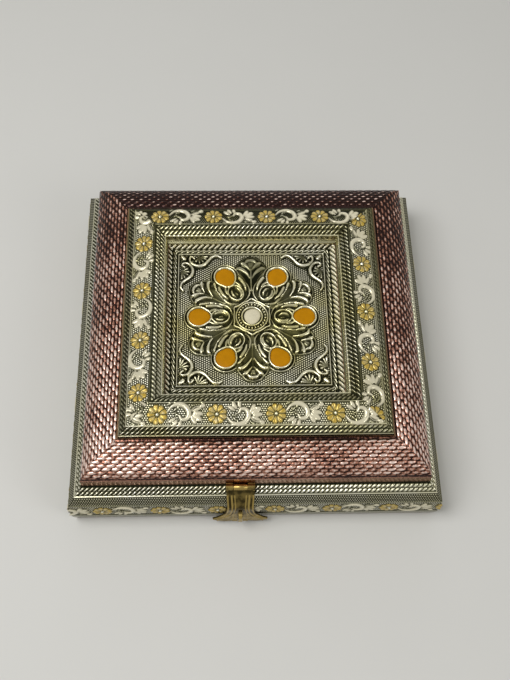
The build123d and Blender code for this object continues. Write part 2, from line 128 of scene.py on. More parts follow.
class BoxFinishSettings(bpy.types.PropertyGroup):
    """Colours of the finishes."""

    glint: colour("Glint", "#fbfaf2", "Sharpest edges of the silvered foil")
    silver: colour("Silver", "#e2dfd0", "Raised parts of the silvered foil")
    dull: colour("Dulled silver", "#6d6c56", "Half-wiped parts of the silvered foil")
    # Tarnish is the oxide in the hollows. Painted shade on the silvered foil also runs to this colour.
    tarnish_and_painted_shade: colour("Tarnish", "#1d1f16", "Oxide in the recesses of the silvered foil")
    haze: colour("Haze", "#e6dc8c", "Yellow tinge of the silvered foil in patches")
    # Rose, flank and recess paint light and shade by height: a highlight on the grain tops, shade in the grooves.
    rose: colour("Rose", "#f6ddd2", "Tops of the grains of the rose foil")
    rose_middle: colour("Rose flank", "#ae7862", "Flanks of the grains of the rose foil")
    rose_groove_shade: colour("Rose recess", "#260d07", "Grooves of the rose foil")
    amber: colour("Amber", "#bd8000", "Enamel of the drops")
    straw: colour("Straw", "#bfa038", "Enamel wiped over the flowers")
    cream: colour("Cream", "#dcd4b8", "Enamel of the centre and the scrolls")
    brass: colour("Brass", "#a89154", "Worn parts of the brass")
    brass_dark: colour("Brass patina", "#3b331c", "Patina of the brass")
    velvet: colour("Velvet", "#6a0f1f", "Velvet lining")
    felt: colour("Felt", "#20392c", "Felt under the tray")
    board: colour("Board", "#a88660", "Fibreboard")
    floor: colour("Floor", "#d6d5d1", "Floor under the box")
    sky: colour("Sky", "#cfcfcb", "Backdrop and light from all round")


class BoxStageSettings(bpy.types.PropertyGroup):
    """Camera, lamps and the unevenness of handwork."""

    lens: FloatProperty(name="Lens", description="Focal length", default=47.65, min=10, unit="CAMERA")
    key_power: FloatProperty(name="Key lamp", description="Power of the large lamp", default=6.0, min=0, unit="POWER")
    fill_power: FloatProperty(name="Fill lamp", description="Power of the fill", default=2.0, min=0, unit="POWER")
    world: FloatProperty(name="World", description="Strength of the light from all round", default=0.55, min=0)
    seed: IntProperty(name="Seed", description="Seed of the uneven handwork", default=7)


def add_node(tree, kind, settings=None, links=None):
    """Adds a node, sets its properties and sockets, and links its inputs."""
    node = tree.nodes.new(kind)
    for key, value in (settings or {}).items():
        if isinstance(key, str) and hasattr(node, key):
            setattr(node, key, value)
        else:
            node.inputs[key].default_value = value
    for key, source in (links or {}).items():
        tree.links.new(source, node.inputs[key])
    return node


def new_material(name):
    """An empty node material and its tree."""
    material = bpy.data.materials.new(name)
    material.use_nodes = True
    material.node_tree.nodes.clear()
    return material, material.node_tree


def principled(tree, settings, links):
    """The material's surface, with uniform values set on its sockets and the uneven ones linked."""
    shader = add_node(tree, "ShaderNodeBsdfPrincipled", settings, links)
    add_node(tree, "ShaderNodeOutputMaterial", {}, {"Surface": shader.outputs[0]})


def rgba(value, share=1.0):
    """A colour for a socket, darkened to this share."""
    return (*[c * share for c in value], 1.0)


def attribute(tree, name):
    """The stored value of a mesh point, such as its depth in the embossing."""
    return add_node(tree, "ShaderNodeAttribute", {"attribute_name": name}).outputs["Fac"]


def combine(tree, operation, *sources):
    """Arithmetic on sockets."""
    return add_node(tree, "ShaderNodeMath", {"operation": operation}, dict(enumerate(sources))).outputs[0]


def spread(tree, source, low, high, to_low=0.0, to_high=1.0):
    """Maps one range of values smoothly to another."""
    return add_node(
        tree,
        "ShaderNodeMapRange",
        {"interpolation_type": "SMOOTHSTEP", "From Min": low, "From Max": high, "To Min": to_low, "To Max": to_high},
        {"Value": source},
    ).outputs["Result"]


def blend_colour(tree, factor, first, second, mode="MIX"):
    """Mixes two colours, each given as a value or a socket."""
    node = tree.nodes.new("ShaderNodeMix")
    node.data_type = "RGBA"
    node.blend_type = mode
    for socket, value in ((node.inputs[0], factor), (node.inputs[6], first), (node.inputs[7], second)):
        if isinstance(value, bpy.types.NodeSocket):
            tree.links.new(value, socket)
        else:
            socket.default_value = value
    return node.outputs[2]


def ramp(tree, source, *stops):
    """Runs a value through colours, each given with its place from 0 to 1."""
    node = add_node(tree, "ShaderNodeValToRGB", {}, {"Fac": source})
    elements = node.color_ramp.elements
    while len(elements) < len(stops):
        elements.new(0.5)
    for element, (place, shade) in zip(elements, stops):
        element.position, element.color = place, rgba(shade)
    return node.outputs["Color"]


def noise(tree, size, detail=3.0):
    """Noise with features of about this size."""
    place = add_node(tree, "ShaderNodeTexCoord").outputs["Object"]
    settings = {"Scale": 1 / (size * MM), "Detail": detail}
    return add_node(tree, "ShaderNodeTexNoise", settings, {"Vector": place}).outputs["Fac"]


def patches(tree, size, low, high, to_low=0.0, to_high=1.0, detail=3.0):
    """Uneven patches of about this size, with the noise from low to high mapped to another range."""
    return spread(tree, noise(tree, size, detail), low, high, to_low, to_high)


def bumps(tree, height, strength, deep):
    """A normal that follows this height, up to so many millimetres deep."""
    settings = {"Strength": strength, "Distance": deep * MM}
    return add_node(tree, "ShaderNodeBump", settings, {"Height": height}).outputs["Normal"]


def ground_dots(tree, pitch):
    """The fine punched ground: rows of staggered dots, 3 on top of a dot and -1.5 between dots."""
    place = add_node(tree, "ShaderNodeAttribute", {"attribute_name": "flat"}).outputs["Vector"]
    wave = 2 * math.pi / (pitch * math.cos(math.radians(30)))
    ripples = []
    for bearing in (30, 90, 150):
        a = math.radians(bearing)
        way = {"operation": "DOT_PRODUCT", 1: (wave * math.cos(a), wave * math.sin(a), 0)}
        phase = add_node(tree, "ShaderNodeVectorMath", way, {0: place}).outputs["Value"]
        ripples.append(combine(tree, "COSINE", phase))
    return combine(tree, "ADD", combine(tree, "ADD", *ripples[:2]), ripples[2])


def oxidised_silver_foil(relief, finish):
    """Thin white-metal foil, die-embossed, blackened in the recesses and wiped bright on top.
    The eye sees near-black hollows with an olive tinge and hard bright ridges; enamel paint fills some shapes."""
    material, tree = new_material("embossed_oxidised_silver_foil")
    depth, cream, amber = (attribute(tree, name) for name in ("depth", "cream", "amber"))
    on_ground = spread(tree, depth, 0.02, 0.16, 1.0, 0.0)
    dots = spread(tree, ground_dots(tree, relief.mesh_pitch / MM), -1.1, 1.9, 0.0, 0.95)
    dots = combine(tree, "MULTIPLY", dots, attribute(tree, "mesh"))
    level = combine(tree, "MULTIPLY_ADD", dots, on_ground, depth)
    metal = ramp(
        tree, level, (0.0, finish.tarnish_and_painted_shade), (0.34, finish.dull), (0.72, finish.silver), (1.0, finish.glint)
    )
    yellowed = combine(tree, "MULTIPLY", patches(tree, 22.0, 0.35, 0.65, 0.35), attribute(tree, "warmth"))
    metal = blend_colour(tree, yellowed, metal, rgba(finish.haze), "MULTIPLY")
    painted = metal
    for layer, shade, size, high in ((cream, finish.cream, 2.6, 0.75), (amber, finish.straw, 2.2, 0.8)):
        wear_and_shade = blend_colour(tree, patches(tree, size, 0.35, high, 0.0, 0.5), rgba(shade), metal)
        painted = blend_colour(tree, layer, painted, wear_and_shade)
    links = {
        "Base Color": painted,
        "Metallic": spread(tree, combine(tree, "MAXIMUM", cream, amber), 0.2, 0.8, 1.0, 0.35),
        "Roughness": spread(tree, depth, 0.0, 0.6, 0.5, 0.2),
        "Normal": bumps(tree, combine(tree, "MULTIPLY", dots, on_ground), 0.6, 0.2),
    }
    principled(tree, {}, links)
    return material


def rose_anodised_foil(finish):
    """Thin aluminium foil, dyed rose and embossed with overlapping grains.
    Its colour paints pale rosy glints on top of each grain and dark wine-brown shade in the grooves between them."""
    material, tree = new_material("embossed_rose_anodised_foil")
    off_hem = spread(tree, attribute(tree, "mesh"), 0.0, 1.0, 1.0, 0.25)
    flecks = combine(tree, "MULTIPLY", patches(tree, 1.3, 0.3, 0.7, -0.14, 0.14, 2.0), off_hem)
    level = combine(tree, "ADD", attribute(tree, "depth"), patches(tree, 40.0, 0.32, 0.68, -0.10, 0.07, 4.0))
    level = combine(tree, "ADD", level, flecks)
    links = {
        "Base Color": ramp(tree, level, (0.08, finish.rose_groove_shade), (0.36, finish.rose_middle), (0.58, finish.rose)),
        "Roughness": patches(tree, 1.6, 0.3, 0.7, 0.18, 0.30),
        "Normal": bumps(tree, noise(tree, 0.9), 0.35, 0.1),
    }
    principled(tree, {"Metallic": 1.0, "Coat Weight": 0.3, "Coat Roughness": 0.15}, links)
    return material


def poured_enamel(name, shade):
    """Cold enamel poured into a cup of the foil. The eye sees a flat, strong colour under a soft wet gloss."""
    material, tree = new_material(name)
    mottled = patches(tree, 3.0, 0.3, 0.75, 0.0, 0.35)
    links = {
        "Base Color": blend_colour(tree, mottled, rgba(shade), rgba(shade, 0.72)),
        "Normal": bumps(tree, noise(tree, 5.0), 0.3, 0.2),
    }
    principled(tree, {"Roughness": 0.5, "IOR": 1.5, "Specular IOR Level": 0.1}, links)
    return material


def antique_brass(name, finish, polish_and_shade):
    """Stamped brass, darkened in a bath and rubbed. The eye sees olive hollows and yellow, satin edges."""
    material, tree = new_material(name)
    rubbing = patches(tree, 4.0, 0.30, 0.72, detail=5.0)
    edges = spread(tree, attribute(tree, "depth"), 0.1, 0.7)
    wear = combine(tree, "ADD", spread(tree, rubbing, 0.0, 1.0, 0.0, polish_and_shade), edges)
    links = {
        "Base Color": blend_colour(tree, spread(tree, wear, 0.0, 1.0), rgba(finish.brass_dark), rgba(finish.brass)),
        "Roughness": spread(tree, rubbing, 0.0, 1.0, 0.42, 0.26),
        "Normal": bumps(tree, noise(tree, 0.7), 0.25, 0.08),
    }
    principled(tree, {"Metallic": 1.0}, links)
    return material


def woven_pile(name, shade, pile, sheen):
    """Velvet or felt. The eye sees a deep colour with a pale bloom at grazing angles and rubbed patches."""
    material, tree = new_material(name)
    nap = patches(tree, 14.0, 0.3, 0.7, detail=4.0)
    links = {
        "Base Color": blend_colour(tree, nap, rgba(shade, 0.75), rgba(shade)),
        "Normal": bumps(tree, noise(tree, pile), 0.6, 0.3),
    }
    bloom = {"Sheen Weight": sheen, "Sheen Roughness": 0.4, "Sheen Tint": (1.0, 0.8, 0.8, 1.0)}
    principled(tree, {"Roughness": 0.95, **bloom}, links)
    return material


def sanded_fibreboard(finish):
    """Medium-density fibreboard, sawn and sanded. The eye sees a flat tan with fine fibre specks."""
    material, tree = new_material("sanded_fibreboard")
    specks = patches(tree, 0.8, 0.35, 0.7, detail=5.0)
    links = {
        "Base Color": blend_colour(tree, specks, rgba(finish.board, 0.72), rgba(finish.board)),
        "Normal": bumps(tree, noise(tree, 0.5), 0.3, 0.1),
    }
    principled(tree, {"Roughness": 0.75}, links)
    return material


def pale_floor(finish):
    """A matt painted board. The eye sees an even pale grey that holds the box's shadow."""
    material, tree = new_material("matt_painted_floor")
    mottled = patches(tree, 60.0, 0.3, 0.7, 0.0, 0.12)
    base = blend_colour(tree, mottled, rgba(finish.floor), rgba(finish.floor, 0.93))
    principled(tree, {"Roughness": 0.8}, {"Base Color": base})
    return material


finishes = {}


class BOX_OT_finishes(bpy.types.Operator):
    """Mixes the materials"""

    bl_idname = "box.finishes"
    bl_label = "Finishes"

    def execute(self, context):
        relief, finish = context.scene.box_relief, context.scene.box_finish
        finishes["silver"] = oxidised_silver_foil(relief, finish)
        finishes["rose"] = rose_anodised_foil(finish)
        finishes["amber"] = poured_enamel("poured_amber_enamel", finish.amber)
        finishes["cream"] = poured_enamel("poured_cream_enamel", finish.cream)
        finishes["brass"] = antique_brass("stamped_antique_brass", finish, 0.42)
        finishes["nail"] = antique_brass("bright_brass_nail", finish, 0.8)
        finishes["velvet"] = woven_pile("cut_pile_velvet", finish.velvet, 0.7, 0.7)
        finishes["felt"] = woven_pile("pressed_felt", finish.felt, 1.4, 0.25)
        finishes["board"] = sanded_fibreboard(finish)
        return {"FINISHED"}


def smooth_step(values, low, high):
    """Runs smoothly from 0 at low to 1 at high."""
    t = np.clip((values - low) / (high - low), 0, 1)
    return t * t * (3 - 2 * t)


def dome(distance, half, rise=1.0):
    """A rounded bump of this rise, which ends at half each way."""
    return rise * np.sqrt(np.clip(1 - (distance / half) ** 2, 0, 1))


def rope(x, v, radius, pitch, lean, rise, sharp):
    """Height of a twisted rope along x, of this radius about v = 0. A higher sharp makes thinner strands."""
    strand = 0.5 + 0.5 * np.cos(2 * math.pi * (x - lean * v / radius * pitch * 0.42) / pitch)
    return dome(v, radius, rise) * (0.06 + 0.94 * strand**sharp)


def softened(values, reach):
    """Values evened out over this many points each way."""
    for axis in (0, 1, 0, 1):
        first, last = values.take([0], axis), values.take([-1], axis)
        padded = np.concatenate([np.repeat(first, reach + 1, axis), values, np.repeat(last, reach, axis)], axis)
        total = np.cumsum(padded, axis)
        span, size = 2 * reach + 1, total.shape[axis]
        values = (total.take(range(span, size), axis) - total.take(range(0, size - span), axis)) / span
    return values


def smooth_curve(points, count=7):
    """A smooth curve through points of (x, y, half-width). The half-width runs straight between them."""
    p = np.array(points, float)
    p = np.vstack([2 * p[0] - p[1], p, 2 * p[-1] - p[-2]])
    curve = []
    for n in range(1, len(p) - 2):
        for t in np.linspace(0, 1, count, endpoint=False):
            weights = np.array([-t**3 + 2 * t**2 - t, 3 * t**3 - 5 * t**2 + 2, -3 * t**3 + 4 * t**2 + t, t**3 - t**2])
            x, y = weights / 2 @ p[n - 1 : n + 3, :2]
            curve.append((x, y, p[n, 2] * (1 - t) + p[n + 1, 2] * t))
    return curve + [tuple(p[-2])]


class ChasedSheet:
    """A sheet being chased: heights, enamel and plain shapes on a fine flat grid, in millimetres."""

    def __init__(self, low, high, step):
        self.low, self.step = low, step
        count = [int(round((b - a) / step)) + 1 for a, b in zip(low, high)]
        self.x, self.y = np.meshgrid(*[a + step * np.arange(n) for a, n in zip(low, count)], indexing="ij")
        self.height, self.amber, self.cream, self.smooth = (np.zeros(self.x.shape) for _ in range(4))

    def window(self, xs, ys, margin):
        """The part of the grid round these points."""
        return tuple(
            slice(
                max(int((min(ends) - margin - low) / self.step), 0),
                max(int((max(ends) + margin - low) / self.step) + 2, 0),
            )
            for ends, low in zip((xs, ys), self.low)
        )

    def raise_to(self, part, bump, paint=None):
        """Lifts the grid to this bump and lays enamel on it."""
        self.height[part] = np.maximum(self.height[part], bump)
        if paint:
            layer = getattr(self, paint)
            layer[part] = np.maximum(layer[part], smooth_step(bump, 0.12, 0.3))

    def level(self, inside, height):
        """Beats a shape flat to this height and leaves it plain."""
        self.height = np.where(inside, height, self.height)
        self.smooth = np.where(inside, 1, self.smooth)

    def stroke(self, points, rise, paint=None):
        """A rounded ridge along a smooth curve through points of (x, y, half-width). Thin parts stay lower."""
        curve = smooth_curve(points)
        for (x0, y0, w0), (x1, y1, w1) in zip(curve[:-1], curve[1:]):
            part = self.window((x0, x1), (y0, y1), max(w0, w1))
            gx, gy = self.x[part], self.y[part]
            if gx.size == 0:
                continue
            dx, dy = x1 - x0, y1 - y0
            t = np.clip(((gx - x0) * dx + (gy - y0) * dy) / max(dx * dx + dy * dy, 1e-9), 0, 1)
            distance = np.hypot(gx - x0 - t * dx, gy - y0 - t * dy)
            width = w0 + (w1 - w0) * t
            self.raise_to(part, dome(distance, width, rise) * np.clip(width / 0.8, 0.5, 1), paint)

    def petal(self, x, y, angle, reach, width, rise, paint=None, crease=0.0):
        """A rounded petal from its root, widest past its middle, with a crease along it."""
        a = math.radians(angle)
        part = self.window((x, x + reach * math.cos(a)), (y, y + reach * math.sin(a)), width)
        gx, gy = self.x[part] - x, self.y[part] - y
        if gx.size == 0:
            return
        along = (gx * math.cos(a) + gy * math.sin(a)) / reach
        across = (gy * math.cos(a) - gx * math.sin(a)) / (width / 2)
        t = np.clip(along, 0, 1)
        profile = np.sqrt(np.clip(4 * t**1.35 * (1 - t) * 1.35, 0.0001, 1.2))
        bump = np.where((along > 0) & (along < 1), dome(across, profile, rise), 0)
        self.raise_to(part, bump * (1 - crease * np.exp(-((across / 0.22) ** 2))), paint)

    def look_up(self, u, v):
        """Height, amber, cream and smoothness at these places."""
        fi, fj = (
            np.clip((place - low) / self.step, 0, count - 1.001)
            for place, low, count in zip((u, v), self.low, self.x.shape)
        )
        i, j = fi.astype(int), fj.astype(int)
        a, b = fi - i, fj - j
        found = []
        for layer in (self.height, self.amber, self.cream, self.smooth):
            low = layer[i, j] * (1 - a) + layer[i + 1, j] * a
            high = layer[i, j + 1] * (1 - a) + layer[i + 1, j + 1] * a
            found.append(low * (1 - b) + high * b)
        return found


def plain_halo(shapes, reach):
    """Where the punched ground stops: on the raised shapes and close round them."""
    return np.clip(2.4 * softened(shapes.astype(float), reach), 0, 1)


def flower_border(pitch):
    """Two lengths of the flower border: a scroll that arches over, then one that hangs under."""
    half, petals = 6.6, 9
    sheet = ChasedSheet((0, -half), (2 * pitch, half), 0.16)
    for centre in (0, pitch, 2 * pitch):
        for k in range(petals):
            turn = 360 * (k + 0.5) / petals
            a = math.radians(turn)
            sheet.petal(centre + 1.3 * math.cos(a), 1.3 * math.sin(a), turn, 3.9, 3.0, 0.8, "amber", 0.35)
        hub = np.hypot(sheet.x - centre, sheet.y)
        parting = np.mod(np.arctan2(sheet.y, sheet.x - centre) * petals / (2 * math.pi), 1.0)
        parting = np.minimum(parting, 1 - parting) * hub * 2 * math.pi / petals
        between = np.where(hub < 5.6, smooth_step(parting, 0.12, 0.42), 1.0)
        clear = smooth_step(hub, 1.1, 1.7)
        sheet.amber *= between * clear
        sheet.height = np.maximum(sheet.height * (0.25 + 0.75 * between) * clear, dome(hub, 1.05))
    arch = (
        (5.4, 1.6, 0.45), (7.6, 4.2, 0.75), (11.2, 5.3, 1.1), (14.8, 3.9, 1.35), (16.4, 0.6, 1.3), (15.2, -2.2, 1.1),
        (12.6, -2.6, 0.8), (11.6, -0.9, 0.6),
    )
    tendril = ((17.2, 1.6, 0.3), (19.6, 3.9, 0.3), (22.4, 4.4, 0.3))
    # Leaves are (x, y, angle, reach, width) and blades (x, y, angle).
    leaves = (
        (9.6, -1.6, 214, 4.6, 1.7), (10.4, -2.6, 236, 4.0, 1.9), (12.0, -3.2, 262, 3.2, 1.9),
        (17.4, -0.4, -62, 5.2, 2.3), (18.0, 0.2, -34, 6.0, 2.5), (18.4, 0.9, -8, 5.4, 2.2), (18.0, 1.6, 22, 5.0, 1.7),
    )
    blades = (
        (7.6, 0.2, 20), (8.4, 1.6, 50), (10.6, 2.6, 80), (9.4, 0.2, -20), (22.6, -3.6, 170), (20.0, 5.2, 200),
        (6.8, -3.6, -20), (4.8, 4.6, 30), (25.0, 4.8, 150),
    )
    for x, up in ((0, 1), (pitch, -1)):
        sheet.stroke([(x + u, up * v, w) for u, v, w in arch], 0.85, "cream")
        sheet.stroke([(x + u, up * v, w) for u, v, w in tendril], 0.5, "cream")
        sheet.petal(x + 22.0, up * 4.2, up * 10, 2.8, 2.2, 0.8, "cream")
        for u, v, angle, reach, width in leaves:
            sheet.petal(x + u, up * v, up * angle, reach, width, 0.75, "cream", 0.3)
        for u, v, angle in blades:
            sheet.petal(x + u, up * v, up * angle, 2.6, 1.0, 0.6)
    sheet.smooth = plain_halo(sheet.height > 0.06, 2)
    return sheet


def border_along(border, pitch, start, x, v, side):
    """The flower border along a side, from this start. It runs the other way at the back."""
    way = 1 if side == "back" else -1
    return border.look_up(np.mod(way * (x - start), 2 * pitch), v)


def add_object(name, data):
    """Puts a mesh, a lamp or a camera in the scene."""
    thing = bpy.data.objects.new(name, data)
    bpy.context.scene.collection.objects.link(thing)
    return thing


def build_mesh(name, co, quads, values):
    """A mesh from arrays of points and quads, with stored point values."""
    mesh = bpy.data.meshes.new(name)
    mesh.vertices.add(len(co))
    mesh.vertices.foreach_set("co", np.asarray(co, np.float32).ravel())
    mesh.loops.add(quads.size)
    mesh.loops.foreach_set("vertex_index", np.asarray(quads, np.int32).ravel())
    mesh.polygons.add(len(quads))
    mesh.polygons.foreach_set("loop_start", np.arange(0, quads.size, 4, dtype=np.int32))
    mesh.update(calc_edges=True)
    for key, value in values.items():
        kind, field = ("FLOAT_VECTOR", "vector") if key == "flat" else ("FLOAT", "value")
        mesh.attributes.new(key, kind, "POINT").data.foreach_set(field, np.asarray(value, np.float32).ravel())
    return add_object(name, mesh)


def grid_quads(rows, columns):
    """Quads of a grid of points, rows first."""
    index = np.arange(rows * columns).reshape(rows, columns)
    return np.stack([index[:-1, :-1], index[1:, :-1], index[1:, 1:], index[:-1, 1:]], -1).reshape(-1, 4)


def ring_quads(rings, turns):
    """Quads between rings of points that close round."""
    index = np.arange(rings * turns).reshape(rings, turns)
    after = np.roll(index, -1, 1)
    return np.stack([index[:-1], index[1:], after[1:], after[:-1]], -1).reshape(-1, 4)


def stacked(*axes):
    """Grids of x, y and z as one array of points."""
    return np.stack(np.broadcast_arrays(*axes), -1).reshape(-1, 3)


def distances(points):
    """How far along an outline each of its points lies."""
    return np.concatenate([[0], np.cumsum(np.hypot(*np.diff(np.array(points, float), axis=0).T))])


def even_path(points, step):
    """Even steps along an outline of (distance out, height): distance along, point and normal at each."""
    p, s = np.array(points, float), distances(points)
    at = np.linspace(0, s[-1], int(math.ceil(s[-1] / step)) + 1)
    place, before, after = (
        np.stack([np.interp(at + shift, s, p[:, k]) for k in (0, 1)], -1) for shift in (0, -step, step)
    )
    way = after - before
    size = np.hypot(*way.T)
    return at, place, np.stack([-way[:, 1] / size, way[:, 0] / size], -1)


def arc_between(start, end, bulge, count=14):
    """Points of a circular arc that swells to the left of the line from start to end by bulge."""
    a, b = np.array(start, float), np.array(end, float)
    half = np.hypot(*(b - a)) / 2
    along = (b - a) / (2 * half)
    left = np.array([-along[1], along[0]])
    radius = (half**2 + bulge**2) / (2 * bulge)
    centre = (a + b) / 2 + left * (bulge - radius)
    reach = math.asin(min(half / radius, 1))
    turns = np.linspace(-reach, reach, count)
    return [tuple(centre + radius * (math.sin(t) * along + math.cos(t) * left)) for t in turns]


def foil_strip(name, side, outline, emboss, step, warmth, shade=0.0, gain=1.0, fall=0.0):
    """A mitred strip of embossed foil over one rail. The outline runs with the open side on its left.
    Except on plain parts, shade paints it darker, gain sharpens its painted glints against painted shade and fall
    paints it darker toward the back."""
    s, path, normal = even_path(outline, step)
    reach, level = path[:, :1], path[:, 1:]
    columns = int(2 * reach.max() / step) + 1
    x = np.linspace(-1, 1, columns) * reach
    s = np.repeat(s[:, None], columns, 1)
    height, amber, cream, mesh = emboss(x, s, side)
    out = reach + normal[:, :1] * height
    up = level + normal[:, 1:] * height
    a = math.radians(SIDES[side])
    turn = np.array([[math.cos(a), math.sin(a), 0], [-math.sin(a), math.cos(a), 0], [0, 0, 1]])
    co = stacked(x * (out / reach), out, up) @ turn
    uneven = 1 - np.clip(mesh, 0, 1)
    # Painted shade: shade, gain and fall are set by side, and a negative mesh darkens the gap beside the frame.
    shade = shade + fall * co[:, 1].reshape(x.shape) / 100
    values = {
        "depth": ((height + FOIL_SINK) / FULL_RELIEF - shade * uneven) * gain**uneven + np.minimum(mesh, 0),
        "amber": amber,
        "cream": cream,
        "mesh": mesh,
        "warmth": np.full(x.shape, warmth),
        "flat": stacked(x, s, 0),
    }
    return build_mesh(name, co * MM, grid_quads(*x.shape), values)


def coat(piece, finish):
    """Gives a piece this finish and no other."""
    piece.data.materials.clear()
    piece.data.materials.append(finishes[finish])


def finish_piece(piece, finish, body, slot, *nodes):
    """Gives a new piece its finish and body, and takes the CAD nodes' place. The slot is not used."""
    coat(piece, finish)
    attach(piece, body)
    if nodes:
        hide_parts(*nodes)


def tray_outline():
    """The tray's outline, from the ledge down over the slope and the belly to the foot."""
    edge, waist, foot = (96.0, 28.2), (100.0, 20.0), (98.8, 1.4)
    return [(87.5, 33.4), (91.5, 33.4)] + arc_between(edge, waist, 1.15) + arc_between(waist, foot, 0.7)[1:]


def tray_emboss(settings, border):
    """Double rope on the slope, mesh on the shoulder, flowers on the face, a plain hem."""
    pitch = 0.965 * settings.rope_pitch / MM
    flower = settings.flower_pitch / MM
    start = {"front": -10.2, "back": -6.0, "left": 3.0, "right": -9.0}
    ledge, ropes, line, shoulder, flowers, hem = 4.0, (2.22, 4.72), 6.7, 13.0, 20.0, 26.6

    def emboss(x, s, side):
        slope = s - ledge
        v = slope - flowers
        found, amber, cream, smooth = border_along(border, flower, start[side], x, v, side)
        height = np.maximum.reduce(
            [rope(x, slope - middle, 1.2, pitch, 1.2, 1.02, 1.3) for middle in ropes]
            + [
                dome(slope - line, 0.55, 0.75),
                dome(slope - shoulder, 0.4, 0.55),
                found,
                0.4 * smooth_step(slope, hem, hem + 0.8),
                0.6 * smooth_step(-slope, 0.0, 0.4),
            ]
        )
        mesh = smooth_step(slope, line + 0.5, line + 0.9) * smooth_step(-slope, -hem, 0.4 - hem)
        mesh *= 1 - 0.35 * smooth_step(-slope, -shoulder, 0.4 - shoulder)
        return height - FOIL_SINK, amber, cream, mesh * (1 - smooth * (np.abs(v) < 6.3))

    return emboss


def rose_outline():
    """The rose moulding's outline, from under its edge up and over to the frame."""
    return [(72.0, 49.8)] + arc_between((72.0, 50.5), (91.5, 41.8), 3.9) + [(91.5, 34.0), (90.8, 33.9)]


def rose_emboss(settings):
    """Rows of overlapping grains, from a gap beside the frame, painted dark as shade, to the plain hem."""
    grain, row, rise = settings.grain_length / MM, settings.grain_row / MM, settings.grain_height / MM
    start = {"front": 2.6, "back": 2.6, "left": 1.2, "right": 1.8}
    last_row, hem_width = 23.1, 8.2

    def emboss(x, s, side):
        covered = s - start[side]
        index = np.floor(covered / row)
        across = (covered - (index + 0.5) * row) / (row * 0.50)
        place = x / grain + np.mod(index, 2) * 0.5 + 0.5
        cell = np.floor(place)
        shift, size = (
            np.mod(np.sin(cell * a + index * b + len(side)) * 4375.85, 1.0) - 0.5
            for a, b in ((12.9, 78.2), (39.3, 11.1))
        )
        along = np.mod(place, 1.0) - 0.5 + 0.10 * shift
        swell = np.clip(1 - (np.abs(along) / (0.54 + 0.06 * size)) ** 2.0, 0, 1)
        lift = rise * (0.94 + (0.1 if side == "back" else 0.34) * size)
        bump = lift * np.clip(swell - (across - 0.5 * along) ** 2, 0, 1) ** 0.7
        bump *= smooth_step(-s, -last_row, 0.7 - last_row) * smooth_step(covered, -0.2, 0.2)
        # The gap comes back as a negative mesh, which paints shade there.
        gap = smooth_step(-covered, 0.5, 0.9)
        hem = smooth_step(s - s.max(), -hem_width, 0.6 - hem_width)
        height = np.maximum.reduce([bump, 0.5 * gap, 0.34 * hem])
        no_paint = np.zeros(x.shape)
        return height - FOIL_SINK, no_paint, no_paint, hem - 0.45 * gap

    return emboss


def frame_outline():
    """The silver frame's outline: the well's wall, the bevel, the flowered face, and the slope to the rose foil."""
    return [
        (48.35, 48.6), (48.35, 50.0), (49.65, 50.4), (49.65, 55.6), (53.9, 59.05), (55.6, 59.2), (67.4, 56.3),
        (71.5, 52.3), (72.1, 51.2), (72.1, 49.9),
    ]


def frame_emboss(settings, border):
    """A plain wall, two ropes on the bevel, flowers on the face, a double rope on the outer slope."""
    pitch, flower = settings.rope_pitch / MM, settings.flower_pitch / MM
    start = {"front": flower - 10.2, "back": 8.7, "left": flower + 12.4, "right": 1.8}
    along = distances(frame_outline())
    bevel, face, slope = along[3], along[5], along[6]
    # Shares of the full relief. They follow how brightly the photograph shows each part on each side.
    wall_lit = {"front": 0.3, "left": 0.3, "right": 0.3, "back": 0.5}
    bevel_lit = {"front": 0.75, "left": 0.95, "right": 0.85, "back": 1.0}
    edge_lit = {"front": 0.7, "left": 0.3, "right": 0.3, "back": 0.7}
    slope_lit = {"front": 1.0, "left": 0.85, "right": 0.75, "back": 0.3}

    def emboss(x, s, side):
        v = s - (face + 6.3)
        found, amber, cream, smooth = border_along(border, flower, start[side], x, v, side)
        outer = [rope(x, s - slope - down, 1.05, pitch, 1.2, 0.95, 3.0) for down in (1.5, 3.9)]
        outer += [dome(s - slope, 0.5, 0.75), dome(s - slope - 5.6, 0.4, 0.6)]
        inner = [rope(x, s - bevel - up, 1.45, pitch, 1.2, 0.95, 2.4) for up in (1.95, 5.0)]
        height = np.maximum.reduce(
            [slope_lit[side] * band for band in outer]
            + [bevel_lit[side] * band for band in inner]
            + [
                wall_lit[side] * smooth_step(-s, -bevel, 0.3 - bevel),
                dome(s - 4.2, 0.55, 1.0),
                dome(s - bevel - 0.1, 0.45, 0.8),
                dome(s - face, 0.35, edge_lit[side]),
                found,
            ]
        )
        mesh = smooth_step(s, face + 0.3, face + 0.6) * smooth_step(-s, 0.3 - slope, 0.6 - slope)
        # Painted shade: at the back the ground's bright dots fade away from the crest, so the face darkens outward.
        if side == "back":
            mesh *= 0.1 + 0.4 * smooth_step(-v, -4.0, 4.0)
        return height - FOIL_SINK, amber, cream, mesh * (1 - smooth)

    return emboss


def lay_foils(name, body, cladding, outline, emboss, settings, finish, slot, warmth, tarnish_and_painted_shade=None):
    """Embosses four strips of foil, in place of the claddings. For some sides it paints shade: shade darkens them,
    gain sharpens painted glints against it and fall darkens them toward the back.
    """
    for side in SIDES:
        tone = (tarnish_and_painted_shade or {}).get(side, ())
        piece = foil_strip(f"{name}_{side}", side, outline, emboss, settings.step / MM, warmth, *tone)
        finish_piece(piece, finish, body, slot, f"{cladding}_cladding_{side}")


class BOX_OT_tray_foil(bpy.types.Operator):
    """Embosses the four strips of silvered foil on the tray"""

    bl_idname = "box.tray_foil"
    bl_label = "Tray Foil"

    def execute(self, context):
        settings = context.scene.box_relief
        emboss = tray_emboss(settings, flower_border(settings.flower_pitch / MM))
        lay_foils("tray_foil", "base", "base", tray_outline(), emboss, settings, "silver", "silvered_foil", 0.3)
        return {"FINISHED"}


